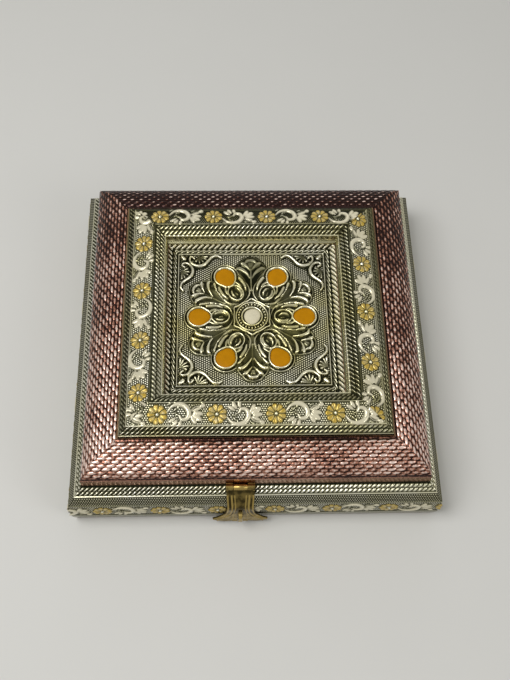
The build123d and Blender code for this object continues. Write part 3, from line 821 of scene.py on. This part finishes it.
class BOX_OT_rose_foil(bpy.types.Operator):
    """Embosses the four strips of rose foil on the lid's moulding"""

    bl_idname = "box.rose_foil"
    bl_label = "Rose Foil"

    def execute(self, context):
        settings = context.scene.box_relief
        # Painted light and shade per side as (shade, gain, fall): the front painted a little lighter, the sides
        # painted darker toward the back, the back painted dark with sharp glints.
        tarnish_and_painted_shade = {
            "front": (-0.05, 1.0, 0.0),
            "left": (0.13, 1.4, 0.15),
            "right": (0.17, 1.45, 0.16),
            "back": (0.48, 12.0, 0.0),
        }
        emboss = rose_emboss(settings)
        lay_foils("rose_foil", "lid", "rose", rose_outline(), emboss, settings, "rose", "rose_foil", 0.0, tarnish_and_painted_shade)
        return {"FINISHED"}


class BOX_OT_frame_foil(bpy.types.Operator):
    """Embosses the four strips of silvered foil on the lid's inner frame"""

    bl_idname = "box.frame_foil"
    bl_label = "Frame Foil"

    def execute(self, context):
        settings = context.scene.box_relief
        emboss = frame_emboss(settings, flower_border(settings.flower_pitch / MM))
        lay_foils("frame_foil", "lid", "frame", frame_outline(), emboss, settings, "silver", "silvered_foil", 0.55)
        return {"FINISHED"}


def on_arm(sheet, angle):
    """Each place on the sheet as (along, across) an arm of the rosette."""
    a = math.radians(angle)
    x, y = sheet.x - ROSETTE[0], sheet.y - ROSETTE[1]
    return x * math.cos(a) + y * math.sin(a), y * math.cos(a) - x * math.sin(a)


def chase_arm(sheet, strokes, angle, size=1.0, faint=1.0, sides=(-1, 1)):
    """Strokes of one arm of the rosette, each (rise, points), scaled and turned. Two sides mirror each other."""
    a = math.radians(angle)
    c, w = size * math.cos(a), size * math.sin(a)
    for side in sides:
        for rise, points in strokes:
            turned = [
                (ROSETTE[0] + u * c - side * v * w, ROSETTE[1] + u * w + side * v * c, half) for u, v, half in points
            ]
            sheet.stroke(turned, rise * faint)


def acanthus_leaf(sheet, angle):
    """One leaf of the rosette: a smooth dark body in a bright outline, and ribs that curl into its lobes."""
    size = 0.95
    # The back leaf gets lower, fainter relief, which makes its colour darker: painted shade.
    wear_and_shade = angle == 90  # The leaf at the back shows only faintly in the photograph.
    u, v = on_arm(sheet, angle)
    u, v = u / size, np.abs(v) / size
    half = np.interp(
        u,
        [12, 16, 20, 25.5, 29.0, 31.5, 33.0, 36.0, 37.4, 39.6, 40.6],
        [0.8, 2.6, 5.4, 8.2, 9.2, 8.8, 8.4, 6.6, 5.4, 3.2, 0.0],
    )
    bulge = 0.08 if wear_and_shade else 0.35 + 0.5 * np.exp(-((v - 0.5 * half) ** 2) / 3.0)
    sheet.level((u > 12.2) & (v < half), np.where(sheet.smooth > 0, sheet.height, bulge))
    midrib = [(1.3, ((18.0, 0, 0.75), (22, 0, 0.45), (28, 0, 0.35), (33.5, 0, 0.3)))]
    ribs = (
        (2.1, ((16.6, 1.2, 0.5), (21, 2.5, 0.6), (24.5, 3.9, 0.8), (27.4, 5.8, 1), (29.8, 7.6, 1), (30.8, 8.8, 0.6))),
        (2.1, ((27.0, 0.7, 0.5), (30.0, 2.3, 0.8), (32.3, 4.5, 1.3), (33.6, 6.7, 1.4), (33.4, 8.2, 0.8))),
        (2.1, ((32.6, 0.5, 0.5), (35.0, 2.3, 0.9), (36.8, 4.2, 1.3), (37.3, 5.4, 0.9))),
        (2.0, ((37.9, 3.0, 0.8), (39.0, 1.8, 1.15), (39.4, 0.0, 1.2))),
        (1.5, ((21.5, 4.6, 0.4), (25.0, 6.4, 0.7), (27.6, 8.0, 0.7))),
        (1.3, ((29.0, 4.6, 0.3), (31.0, 6.6, 0.7), (31.6, 8.0, 0.5))),
        (1.5, ((34.8, 3.4, 0.7), (35.8, 5.0, 0.8))),
        (1.6, ((34.6, 0.3, 0.6), (36.8, 0.7, 1.3))),
        (1.3, ((29.6, 10.2, 0.45), (32.6, 9.6, 0.5), (36.4, 7.6, 0.5), (38.2, 6, 0.5), (40.4, 3.8, 0.5),
               (41.6, 0, 0.5))),
    )
    chase_arm(sheet, midrib, angle, size, sides=(1,))
    chase_arm(sheet, ribs, angle, size, 0.33 if wear_and_shade else 1.0)


def drop_distance(u, v):
    """Distance outside the outline of an enamel drop that lies along u."""
    (inner, small), (outer, large) = DROP_INNER, DROP_OUTER
    lean = (small - large) / (outer - inner)
    level = math.sqrt(1 - lean**2)
    along, v = u - inner, np.abs(v)
    place = level * along - lean * v
    side = level * v + lean * along - small
    beyond = np.where(place > level * (outer - inner), np.hypot(u - outer, v) - large, side)
    return np.where(place < 0, np.hypot(along, v) - small, beyond)


def enamel_lobe(sheet, angle):
    """One lobe of the rosette: the cup of the drop, the leaves that hold it, and the nested eye."""
    u, v = on_arm(sheet, angle)
    near = np.hypot(u - 22.0, v) < 20
    half = np.interp(u, [11, 14, 18, 24, 28], [1.5, 5.5, 8.0, 8.6, 7.2])
    sheet.level(near & (np.abs(v) < half) & (u > 11) & (u < 28), 0.4)
    leaves = (
        (1.9, ((10.8, 1.6, 0.4), (11.8, 4.4, 0.55), (14.2, 7.0, 0.6), (18.2, 8.4, 0.5), (22.0, 8.3, 0.4))),
        (1.9, ((16.6, 5.9, 0.6), (19.5, 6.8, 1.15), (22.6, 6.9, 1.4), (25.2, 6.7, 1.1))),
        (1.8, ((19.0, 4.6, 0.6), (21.2, 4.4, 1.15), (23.2, 3.6, 0.8))),
    )
    lids = (
        (1.7, ((13.9, -1.0, 0.5), (15.6, -2.5, 1.0), (18.4, -2.8, 1.15), (20.8, -1.7, 0.6))),
        (1.7, ((15.2, 1.0, 0.4), (17.0, 1.9, 0.85), (19.4, 1.6, 0.8), (21.0, 0.4, 0.4))),
        (1.6, ((16.4, -0.6, 0.5), (18.0, -0.2, 0.45))),
    )
    chase_arm(sheet, leaves, angle)
    eye = np.hypot((u - 17.6) / 5.2, v / 4.3)
    sheet.height = np.where(near & (eye < 1.0), 0.4, sheet.height)
    sheet.height = np.maximum(sheet.height, np.where(near, dome(eye - 0.95, 0.11, 2.0), 0))
    chase_arm(sheet, lids, angle, sides=(1,))
    drop = drop_distance(u, v)
    around = np.hypot(u - 30.0, v) < 12
    outline = np.where(u > 27, dome(drop - 2.4, 0.4, 1.1), 0)
    cup = np.maximum(2.0 * smooth_step(0.85 - np.abs(drop - 0.55), 0.0, 0.6), outline)
    sheet.height = np.maximum(sheet.height, np.where(around, cup, 0))
    sheet.height = np.where(around & (drop < 0.1), 0.55, sheet.height)


def star_boss(sheet):
    """The six-pointed boss in the middle, with its rings, its beads and the well of the cream enamel."""
    x, y = sheet.x - ROSETTE[0], sheet.y - ROSETTE[1]
    middle, bearing = np.hypot(x, y), np.arctan2(y, x)
    star = 10.0 + 1.3 * np.abs(np.cos(3 * (bearing - math.pi / 6))) ** 8
    beads, beads_at = 26, 7.4
    sheet.level(middle < star + 0.9, 0.5)
    turn = np.mod(bearing * beads / (2 * math.pi), 1.0) - 0.5
    bead = np.hypot(turn * 2 * math.pi * beads_at / beads, middle - beads_at)
    raised = [sheet.height, dome(bead, 0.72, 2.2)]
    raised += [dome(middle - at, *size) for at, *size in ((star, 0.55, 1.8), (8.8, 0.5, 2.0), (5.7, 0.55, 2.1))]
    sheet.height = np.maximum.reduce(raised)
    sheet.height = np.where(middle < 5.0, 0.6, sheet.height)


def corner_scrolls(sheet):
    """The pair of scrolls that fills each corner: a wave with a hooked end over a fan of rays, and two blobs.
    Their points are measured inward from the corner of the field."""
    wave = (
        (8.4, 2.8, 0.8), (7.2, 1.4, 0.7), (5.9, 2.2, 0.8), (6.0, 4.6, 1.0), (8.0, 6.7, 1.25), (11.1, 7.6, 1.3),
        (14.4, 6.4, 1.25), (17.2, 3.2, 1.05), (19.0, 1.5, 0.9), (21.6, 0.9, 0.75), (23.9, 2.2, 0.6),
    )
    strokes = [
        (2.0, wave),
        (1.3, ((3.3, 1.3, 0.6), (4.6, 1.0, 0.5))),
        (1.8, ((1.4, 1.4, 1.3), (2.8, 2.8, 1.5))),
        (1.3, ((5.6, 5.6, 0.8), (9.6, 9.6, 0.4))),
    ]
    for tip in ((9.4, 4.6), (11.4, 5.4), (13.4, 4.7), (15.0, 3.0), (15.8, 1.4)):
        strokes.append((1.6, ((10.9, 0.9, 0.3), (*tip, 0.85))))
    for sx, sy in ((-1, -1), (-1, 1), (1, -1), (1, 1)):
        for a, b in ((0, 1), (1, 0)):
            for rise, points in strokes:
                placed = [(BORDERS_X + sx * (FIELD_HALF - p[a]), sy * (FIELD_HALF - p[b]), p[2]) for p in points]
                sheet.stroke(placed, rise)


def rope_borders(sheet, pitch):
    """A thick and a thin rope and a plain line round the field, mitred at the corners."""
    x, y = sheet.x - BORDERS_X, sheet.y
    for along, across, turn in ((x, y, 1), (y, x, -1)):
        for sign in (-1, 1):
            v, run = sign * across, turn * sign * along
            thick = rope(run, v - 47.5, 2.05, pitch, 1.6, 1.7, 1.2)
            thin = rope(run, v - 43.9, 1.15, pitch, 2.0, 1.3, 1.4)
            bands = np.maximum.reduce([thick, thin, dome(v - 41.75, 0.5, 1.3)])
            sheet.height = np.maximum(sheet.height, np.where(v >= np.abs(along) - 0.01, bands, 0))


def from_middle(sheet):
    """How far each point lies from the middle of the borders, measured square to their sides."""
    return np.maximum(np.abs(sheet.x - BORDERS_X), np.abs(sheet.y))


def centre_relief(settings):
    """The whole embossed sheet in the well of the lid."""
    sheet = ChasedSheet((BORDERS_X - SHEET_HALF, -SHEET_HALF), (BORDERS_X + SHEET_HALF, SHEET_HALF), SHEET_STEP)
    for angle in range(30, 360, 60):
        acanthus_leaf(sheet, angle)
    for angle in range(0, 360, 60):
        enamel_lobe(sheet, angle)
    star_boss(sheet)
    corner_scrolls(sheet)
    shapes = (sheet.height > 0.06) & (from_middle(sheet) < FIELD_HALF)
    sheet.smooth = np.maximum(sheet.smooth, plain_halo(shapes, 1))
    rope_borders(sheet, settings.thick_rope_pitch / MM)
    return sheet


def local_depth(sheet, reach, swing):
    """How far each point stands above the mean of its surroundings, from 0 in a groove to 1 on a ridge."""
    mean = softened(sheet.height, max(int(reach / sheet.step), 1))
    relative = 0.32 + (sheet.height - mean) / (2 * swing)
    return np.clip(relative, 0.04, 1.1) * smooth_step(sheet.height, 0.05, 0.5)


class BOX_OT_centre_sheet(bpy.types.Operator):
    """Embosses the rosette sheet in the well of the lid"""

    bl_idname = "box.centre_sheet"
    bl_label = "Centre Sheet"

    def execute(self, context):
        sheet = centre_relief(context.scene.box_relief)
        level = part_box("centre_core")[1][2] / MM + SHEET_LEVEL
        co = stacked(sheet.x, sheet.y, level + sheet.height) * MM
        around, diagonal = from_middle(sheet), np.abs(sheet.x) + np.abs(sheet.y)
        on_field = smooth_step(FIELD_HALF - around, 0.0, 0.4)
        on_thick_rope = smooth_step(around, 45.0, 45.5)
        # Painted shade darkens the corners of the field, sparing the raised shapes at the front. rope_light paints a
        # highlight on the thick rope.
        front_shapes = sheet.smooth * (sheet.y < 0)
        in_corner = smooth_step(diagonal, 46.0, 60.0) * on_field * (1 - front_shapes)
        rope_light = 0.5 * on_thick_rope * smooth_step(sheet.height, 0.4, 0.9)
        values = {
            "depth": local_depth(sheet, 1.6, 0.75) - 0.14 * in_corner + rope_light,
            "amber": sheet.amber,
            # Cream on the thick rope is no enamel: it paints a pale highlight on the strands.
            "cream": 0.9 * on_thick_rope * smooth_step(sheet.height, 0.6, 1.0),
            "mesh": on_field * (1 - sheet.smooth),
            "warmth": 0.75 - 0.35 * smooth_step(diagonal, 44.0, 62.0),
            "flat": stacked(sheet.y, sheet.x, 0) * 0.93,
        }
        piece = build_mesh("centre_sheet", co, grid_quads(*sheet.x.shape), values)
        finish_piece(piece, "silver", "lid", "silvered_foil", "centre_plate")
        return {"FINISHED"}


def drop_reach(bearing):
    """How far the enamel of a drop runs each way from its middle, a little up its cup. Found by halving."""
    up_cup, halvings = 0.3, 24
    low, high = np.zeros(bearing.shape), np.full(bearing.shape, 12.0)
    for _ in range(halvings):
        middle = (low + high) / 2
        outside = drop_distance(DROP_MIDDLE + middle * np.cos(bearing), middle * np.sin(bearing)) > up_cup
        low, high = np.where(outside, low, middle), np.where(outside, middle, high)
    return low


class BOX_OT_enamel(bpy.types.Operator):
    """Pours the amber drops and the cream centre"""

    bl_idname = "box.enamel"
    bl_label = "Enamel"

    def execute(self, context):
        rings, turns, pour = 9, 48, 0.75
        cream_half, cream_shift, cream_rise = (4.4, 5.0), 0.2, 1.6
        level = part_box("centre_core")[1][2] / MM + ENAMEL_LEVEL
        share = np.linspace(0, 1, rings)[:, None]
        bearing = np.linspace(0, 2 * math.pi, turns, endpoint=False)
        reach, ring = drop_reach(bearing), ring_quads(rings, turns)
        points = []
        for n in range(6):
            a = math.radians(60 * n)
            out = share * reach * (1 + 0.03 * np.sin(3 * bearing + n) + 0.02 * np.sin(7 * bearing + 2 * n))
            u, v = DROP_MIDDLE + out * np.cos(bearing), out * np.sin(bearing)
            x = ROSETTE[0] + u * math.cos(a) - v * math.sin(a)
            y = ROSETTE[1] + u * math.sin(a) + v * math.cos(a)
            points.append(stacked(x, y, level + pour * (1 - share**4)))
        quads = np.concatenate([ring + n * rings * turns for n in range(6)])
        piece = build_mesh("amber_drops", np.concatenate(points) * MM, quads, {})
        finish_piece(piece, "amber", "lid", "amber_enamel", "petal_enamel")
        out = share * (1 + 0.05 * np.sin(2 * bearing + 0.6) + 0.03 * np.sin(3 * bearing))
        x, y = (
            middle + cream_shift + half * out * wave(bearing)
            for middle, half, wave in zip(ROSETTE, cream_half, (np.cos, np.sin))
        )
        co = stacked(x, y, level + dome(0.97 * share, 1.0, cream_rise)) * MM
        piece = build_mesh("cream_centre", co, ring, {})
        finish_piece(piece, "cream", "lid", "cream_enamel", "centre_enamel")
        return {"FINISHED"}


def bend(t, start, first, second, end):
    """A cubic curve from start to end, drawn toward the two values between."""
    return (1 - t) ** 3 * start + 3 * (1 - t) ** 2 * t * first + 3 * (1 - t) * t**2 * second + t**3 * end


def hasp_half_width(z):
    """Half the width of the hasp at this height: nearly straight, then flared to the wing tips."""
    flare, t = 26.0, np.linspace(0, 1, 60)
    x, height = bend(t, HASP_HALF, HASP_HALF, 8.5, WING_HALF), bend(t, flare, 17.0, 11.8, 6.8)
    return np.where(z > flare, HASP_HALF + 0.6 * (z - flare) / 8.3, np.interp(-z, -height, x))


def hasp_bottom(x):
    """Height of the hasp's lower edge: a flat tab, a scallop, and the rounded tip of the wing."""
    out = np.abs(x)
    scallop = 2.8 + 2.0 * np.clip((out - 9.0) / 4.8, 0, 1) ** 2 + 0.8 * np.clip((9.0 - out) / 4.8, 0, 1) ** 2
    tip = 4.8 + 2.0 * np.clip((out - 13.8) / 1.2, 0, 1) ** 1.5
    return np.where(out < 4.2, 3.2, np.where(out < 13.8, scallop, tip))


def pressed_line(distance, half):
    """A soft line pressed into the sheet, about this far to each side."""
    return np.exp(-((distance / half) ** 2))


def hasp_relief(x, z):
    """Height of the hasp's ribs, tab and rays, from 0 in a groove to 1 on a rib."""
    out = np.abs(x)
    inset = hasp_half_width(z) - out
    from_fan = 17.5 - z, out - 2.5
    bearing, far = np.arctan2(*from_fan), np.hypot(*from_fan)
    below_bend = smooth_step(-z, -32.2, -31.0)
    raised = [
        0.7 * pressed_line(inset - 0.5, 0.55),
        pressed_line(inset - 2.7, 0.5) * below_bend,
        0.6 * pressed_line(inset - 4.3, 0.45) * smooth_step(z, 12, 16) * below_bend,
        0.45 * np.cos(bearing * 26) ** 2 * smooth_step(far, 8.0, 9.5) * smooth_step(out, 5.4, 6.4),
        0.8 * pressed_line(out - 3.9, 0.5) * smooth_step(-z, -17.5, -15.5),
        0.9 * pressed_line(z - 3.8, 0.45) * (out < 4.4),
        # Painted shade: the upper plate, under the lid's edge, keeps a lower floor, so it comes out darker.
        0.16 + 0.29 * smooth_step(-z, -20, -12),
    ]
    groove = 0.45 * pressed_line(inset - 3.5, 0.35) * smooth_step(z, 8, 12) * below_bend
    return np.clip(np.maximum.reduce(raised) - groove, 0, 1)


def thicken(outside, inside, quads):
    """A sheet of two faces, closed along its edges."""
    edges = np.concatenate([quads[:, [k, (k + 1) % 4]] for k in range(4)])
    twins = set(map(tuple, edges[:, ::-1].tolist()))
    rim = np.array([e for e in edges.tolist() if tuple(e) not in twins])
    count = len(outside)
    walls = np.stack([rim[:, 1], rim[:, 0], rim[:, 0] + count, rim[:, 1] + count], -1)
    return np.concatenate([outside, inside]), np.concatenate([quads, quads[:, ::-1] + count, walls])


def hasp_mesh():
    """The bent fishtail hasp with its slot, as points, quads and relief.
    Rows run from its top to the head of the slot and on to its lower edge. Columns run from wing to wing."""
    top, slot_head, upper, lower, wing, slot = 33.6, 21.1, 60, 64, 44, 7
    t = np.concatenate([np.linspace(0, 1, upper), np.linspace(1, 2, lower)[1:]])[:, None]
    share = np.linspace(0, 1, wing)
    share = np.concatenate([share[::-1], np.zeros(slot), share])
    side = np.repeat([-1.0, 0.0, 1.0], [wing, slot, wing])
    middle = np.concatenate([np.zeros(wing), SLOT_HALF * np.linspace(-1, 1, slot + 2)[1:-1], np.zeros(wing)])

    def across(half):
        return middle + side * (SLOT_HALF + (half - SLOT_HALF) * share)

    arch = slot_head + (side == 0) * dome(middle, SLOT_HALF, SLOT_HALF)
    z = np.where(t <= 1, top + (arch - top) * t, arch + (hasp_bottom(across(WING_HALF)) - arch) * (t - 1))
    x = across(hasp_half_width(z))
    raised = hasp_relief(x, z)
    out, height = np.array(HASP_PATH).T
    # The relief rises outward. On the bend it runs down the slope as well, which leaves the plate thin there.
    look = 0.4
    y, above, below = (np.interp(shift - z, -height, out) for shift in (0, -look, look))
    way = np.stack([2 * look + 0 * y, above - below], -1)
    way /= np.linalg.norm(way, axis=-1, keepdims=True)
    thick_half, faces = 0.45, []
    for rise in (thick_half + 0.65 * (raised - 0.25), -thick_half):
        faces.append(stacked(HASP_X + x, -(y + way[..., 0] * rise), z + way[..., 1] * rise))
    quads = grid_quads(*x.shape)
    row, column = np.divmod(quads[:, 0], x.shape[1])
    in_slot = (row >= upper - 1) & (column >= wing - 1) & (column < wing + slot)
    co, quads = thicken(*faces, quads[~in_slot])
    return co, quads, np.concatenate([raised.ravel() * 0.9, np.full(x.size, 0.1)])


def knuckle_mesh(long, outer, inner):
    """The hasp's bored knuckle, along X."""
    turns, chamfer, half = 40, 0.15, long / 2
    rings = (
        (-half, inner), (-half, outer - chamfer), (-half + chamfer, outer), (half - chamfer, outer),
        (half, outer - chamfer), (half, inner), (-half, inner),
    )
    y, z = HASP_AXIS
    a = np.linspace(0, 2 * math.pi, turns, endpoint=False)
    co = [(HASP_X + x, y + r * math.cos(t), z + r * math.sin(t)) for x, r in rings for t in a]
    return np.array(co), ring_quads(len(rings), turns)[:, ::-1]


def pin_heads(name, places):
    """Domed heads of panel pins, each at a place with an outward direction."""
    turns, levels, radius, rise = 16, 5, 1.05, 0.5
    points, quads = [], []
    for place, way in places:
        turn = Vector(way).to_track_quat("Z", "Y").to_matrix()
        for t in np.linspace(0, math.pi / 2 * 0.98, levels):
            out, up = radius * math.cos(t), rise * math.sin(t)
            for b in np.linspace(0, 2 * math.pi, turns, endpoint=False):
                points.append(tuple(turn @ Vector((out * math.cos(b), out * math.sin(b), up)) + Vector(place)))
        quads.append(ring_quads(levels, turns)[:, ::-1] + len(quads) * turns * levels)
    return build_mesh(name, np.array(points) * MM, np.concatenate(quads), {"depth": np.full(len(points), 0.7)})


class BOX_OT_brass(bpy.types.Operator):
    """Presses the hasp, finishes the catch and the hinges in antique brass, and drives their pins"""

    bl_idname = "box.brass"
    bl_label = "Brass"

    def execute(self, context):
        # The latch leaf, under the lid's edge, is painted dark as shade. The staple comes out brighter.
        polish_and_shade = {"catch_staple": 0.95, "latch_leaf": 0.3}
        for name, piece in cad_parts.items():
            if not name.startswith(("hinge_", "latch_", "catch_")):
                continue
            rubbed = piece.modifiers.new("Rubbed edges", "BEVEL")
            rubbed.width, rubbed.segments, rubbed.limit_method = 0.12 * MM, 2, "ANGLE"
            depth = piece.data.attributes.new("depth", "FLOAT", "POINT")
            depth.data.foreach_set("value", [polish_and_shade.get(name, 0.5)] * len(piece.data.vertices))
            coat(piece, "brass")
        plate, quads, raised = hasp_mesh()
        knuckle, ring = knuckle_mesh(7.4, 1.7, 0.8)
        depth = np.concatenate([raised, np.full(len(knuckle), 0.6)])
        quads = np.concatenate([quads, ring + len(plate)])
        hasp = build_mesh("hasp_pressed", np.concatenate([plate, knuckle]) * MM, quads, {"depth": depth})
        hasp.data.polygons.foreach_set("use_smooth", [True] * len(hasp.data.polygons))
        finish_piece(hasp, "brass", "hasp", "antique_brass", "hasp")
        base_pins = [((HASP_X + x, -100.7, 10.6), (0, -1, 0)) for x in (-4.8, 4.8)]
        lid_pins = [((HASP_X + x, -89.0, 33.8), (0, 0, -1)) for x in (-5.0, 5.0)]
        for side in ("left", "right"):
            low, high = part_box(f"hinge_lid_leaf_{side}")
            for x in (-5.4, 5.4):
                x += (low[0] + high[0]) / 2 / MM
                lid_pins.append(((x, 92.3, high[2] / MM - 2.0), (0, 1, 0)))
                base_pins.append(((x, 94.9, 30.9), (0, 5.3, 4.5)))
        for body, places in (("base", base_pins), ("lid", lid_pins)):
            finish_piece(pin_heads(f"panel_pins_{body}", places), "nail", body, "antique_brass")
        return {"FINISHED"}


def puffed_board(name, low, high, step, puff, wave, seed):
    """A board covered in cloth, inside these corners. Its edges are rounded by puff and its faces uneven by wave."""
    phases = np.random.default_rng(seed).uniform(0, 2 * math.pi, 6)
    low = np.array(low)
    size = np.array(high) - low
    steps = [np.linspace(0, 1, max(int(s / MM / step), 3) + 1) for s in size]
    points, quads, total = [], [], 0
    for axis in range(3):
        a, b = [k for k in range(3) if k != axis]
        for end in (0, 1):
            face = np.full((len(steps[a]), len(steps[b]), 3), float(end))
            face[..., a], face[..., b] = np.meshgrid(steps[a], steps[b], indexing="ij")
            squares = grid_quads(*face.shape[:2])
            flipped = (end == 1) == (axis == 1)
            quads.append(total + (squares[:, ::-1] if flipped else squares))
            points.append(face.reshape(-1, 3))
            total += len(points[-1])
    unit = np.concatenate(points)
    co = low + unit * size
    margin = np.minimum(unit, 1 - unit) * size / MM
    edge = np.where(margin < 1e-6, 1, smooth_step(margin, 0.0, puff * 2.5)).min(axis=1)
    thin = int(np.argmin(size))
    u, v = (co[:, (thin + k) % 3] / MM for k in (1, 2))
    uneven = sum(np.sin(u / (7 + 3 * n) + phases[n]) * np.sin(v / (9 + 2 * n) + phases[n + 3]) for n in range(3)) / 3
    drop = (1 - edge) * puff + edge * (0.5 + 0.5 * uneven) * wave
    co[:, thin] -= np.sign(unit[:, thin] - 0.5) * drop * MM
    return build_mesh(name, co, np.concatenate(quads), {})


class BOX_OT_lining(bpy.types.Operator):
    """Covers the inside in velvet and the underside in felt"""

    bl_idname = "box.lining"
    bl_label = "Lining"

    def execute(self, context):
        seed = context.scene.box_stage.seed
        linings = ["lining_floor", "lid_lining"] + [f"lining_{side}" for side in SIDES]
        boards = [(node, (2.2, 0.35, 0.18), n, 0.0) for n, node in enumerate(linings)]
        # The cross divider stays a little lower, so that two faces never share a plane where they cross.
        dividers = (("divider_long", 20, 0.0), ("divider_cross", 21, 0.15))
        boards += [(node, (1.6, 0.6, 0.15), draw, lower) for node, draw, lower in dividers]
        for node, cloth, draw, lower in boards:
            low, (x, y, z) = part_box(node)
            piece = puffed_board(f"velvet_{node}", low, (x, y, z - lower * MM), *cloth, seed + draw)
            finish_piece(piece, "velvet", "lid" if node == "lid_lining" else "base", "velvet", node)
        piece = puffed_board("felt_sheet", *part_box("base_felt"), 2.5, 0.2, 0.05, seed + 30)
        finish_piece(piece, "felt", "base", "felt", "base_felt")
        return {"FINISHED"}


class BOX_OT_boards(bpy.types.Operator):
    """Finishes the fibreboard rails and boards"""

    bl_idname = "box.boards"
    bl_label = "Boards"

    def execute(self, context):
        rails, boards = ("base_rail", "lid_rail", "frame_rail"), ("base_board", "lid_board", "centre_core")
        for name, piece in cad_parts.items():
            if name.startswith(rails) or name in boards:
                coat(piece, "board")
        return {"FINISHED"}


def studio_world(strength, sky):
    """An even backdrop that the eye and mirrors see at full strength, and that lights the box at this one."""
    world = bpy.data.worlds.new("studio")
    world.use_nodes = True
    tree = world.node_tree
    tree.nodes.clear()
    rays = add_node(tree, "ShaderNodeLightPath").outputs
    seen = combine(tree, "MAXIMUM", rays["Is Camera Ray"], rays["Is Glossy Ray"])
    seen = combine(tree, "MAXIMUM", seen, rays["Is Transmission Ray"])
    light = add_node(tree, "ShaderNodeMapRange", {"To Min": strength, "To Max": 1.0}, {"Value": seen})
    backdrop = add_node(tree, "ShaderNodeBackground", {"Color": rgba(sky)}, {"Strength": light.outputs["Result"]})
    add_node(tree, "ShaderNodeOutputWorld", {}, {"Surface": backdrop.outputs[0]})
    return world


class BOX_OT_stage(bpy.types.Operator):
    """Sets up the floor, the lamps, the world and the camera"""

    bl_idname = "box.stage"
    bl_label = "Stage"

    def execute(self, context):
        scene = context.scene
        finish, settings = scene.box_finish, scene.box_stage
        corners = np.array([(-3, -3, 0), (3, -3, 0), (3, 3, 0), (-3, 3, 0)], float)
        floor = build_mesh("floor", corners, np.array([[0, 1, 2, 3]]), {})
        floor.data.materials.append(pale_floor(finish))
        lamps = (
            ("key", (-0.45, -0.15, 0.95), 0.55, settings.key_power),
            ("fill", (0.75, -0.55, 0.7), 0.5, settings.fill_power),
            ("back", (0.1, 0.9, 0.55), 0.5, 0.2 * settings.fill_power),
        )
        box_middle = Vector((0, 0, 0.03))
        for name, place, size, power in lamps:
            lamp = add_object(name, bpy.data.lights.new(name, "AREA"))
            lamp.data.size, lamp.data.energy = size, power
            lamp.location = place
            lamp.rotation_euler = (box_middle - Vector(place)).to_track_quat("-Z", "Y").to_euler()
        scene.world = studio_world(settings.world, finish.sky)
        scene.view_settings.view_transform = "Standard"
        scene.camera = add_object("camera", bpy.data.cameras.new("camera"))
        lens = scene.camera.data
        lens.lens, lens.sensor_width, lens.clip_start = settings.lens, 36, 0.01
        scene.camera.location = CAMERA_PLACE
        scene.camera.rotation_euler = [math.radians(a) for a in CAMERA_TURN]
        return {"FINISHED"}


class BOX_PT_panel(bpy.types.Panel):
    """Lists the steps that dress the box"""

    bl_idname = "BOX_PT_panel"
    bl_label = "Dry Fruit Box"
    bl_space_type = "VIEW_3D"
    bl_region_type = "UI"
    bl_category = "Box"

    def draw(self, context):
        for operator in OPERATORS:
            self.layout.operator(operator.bl_idname)
        for group in GROUPS:
            settings = getattr(context.scene, group)
            for name in settings.__annotations__:
                self.layout.prop(settings, name)


OPERATORS = (
    BOX_OT_finishes,
    BOX_OT_tray_foil,
    BOX_OT_rose_foil,
    BOX_OT_frame_foil,
    BOX_OT_centre_sheet,
    BOX_OT_enamel,
    BOX_OT_brass,
    BOX_OT_lining,
    BOX_OT_boards,
    BOX_OT_stage,
)
GROUPS = {"box_relief": BoxReliefSettings, "box_finish": BoxFinishSettings, "box_stage": BoxStageSettings}


def register():
    """Registers the groups of settings, the operators and the panel."""
    for name, group in GROUPS.items():
        bpy.utils.register_class(group)
        setattr(bpy.types.Scene, name, bpy.props.PointerProperty(type=group))
    for operator in OPERATORS:
        bpy.utils.register_class(operator)
    bpy.utils.register_class(BOX_PT_panel)


def unregister():
    """Takes them out again, last first."""
    bpy.utils.unregister_class(BOX_PT_panel)
    for operator in reversed(OPERATORS):
        bpy.utils.unregister_class(operator)
    for name, group in GROUPS.items():
        delattr(bpy.types.Scene, name)
        bpy.utils.unregister_class(group)


def main():
    """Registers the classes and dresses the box."""
    register()
    for operator in OPERATORS:
        area, name = operator.bl_idname.split(".")
        getattr(getattr(bpy.ops, area), name)()


if __name__ == "__main__":
    main()
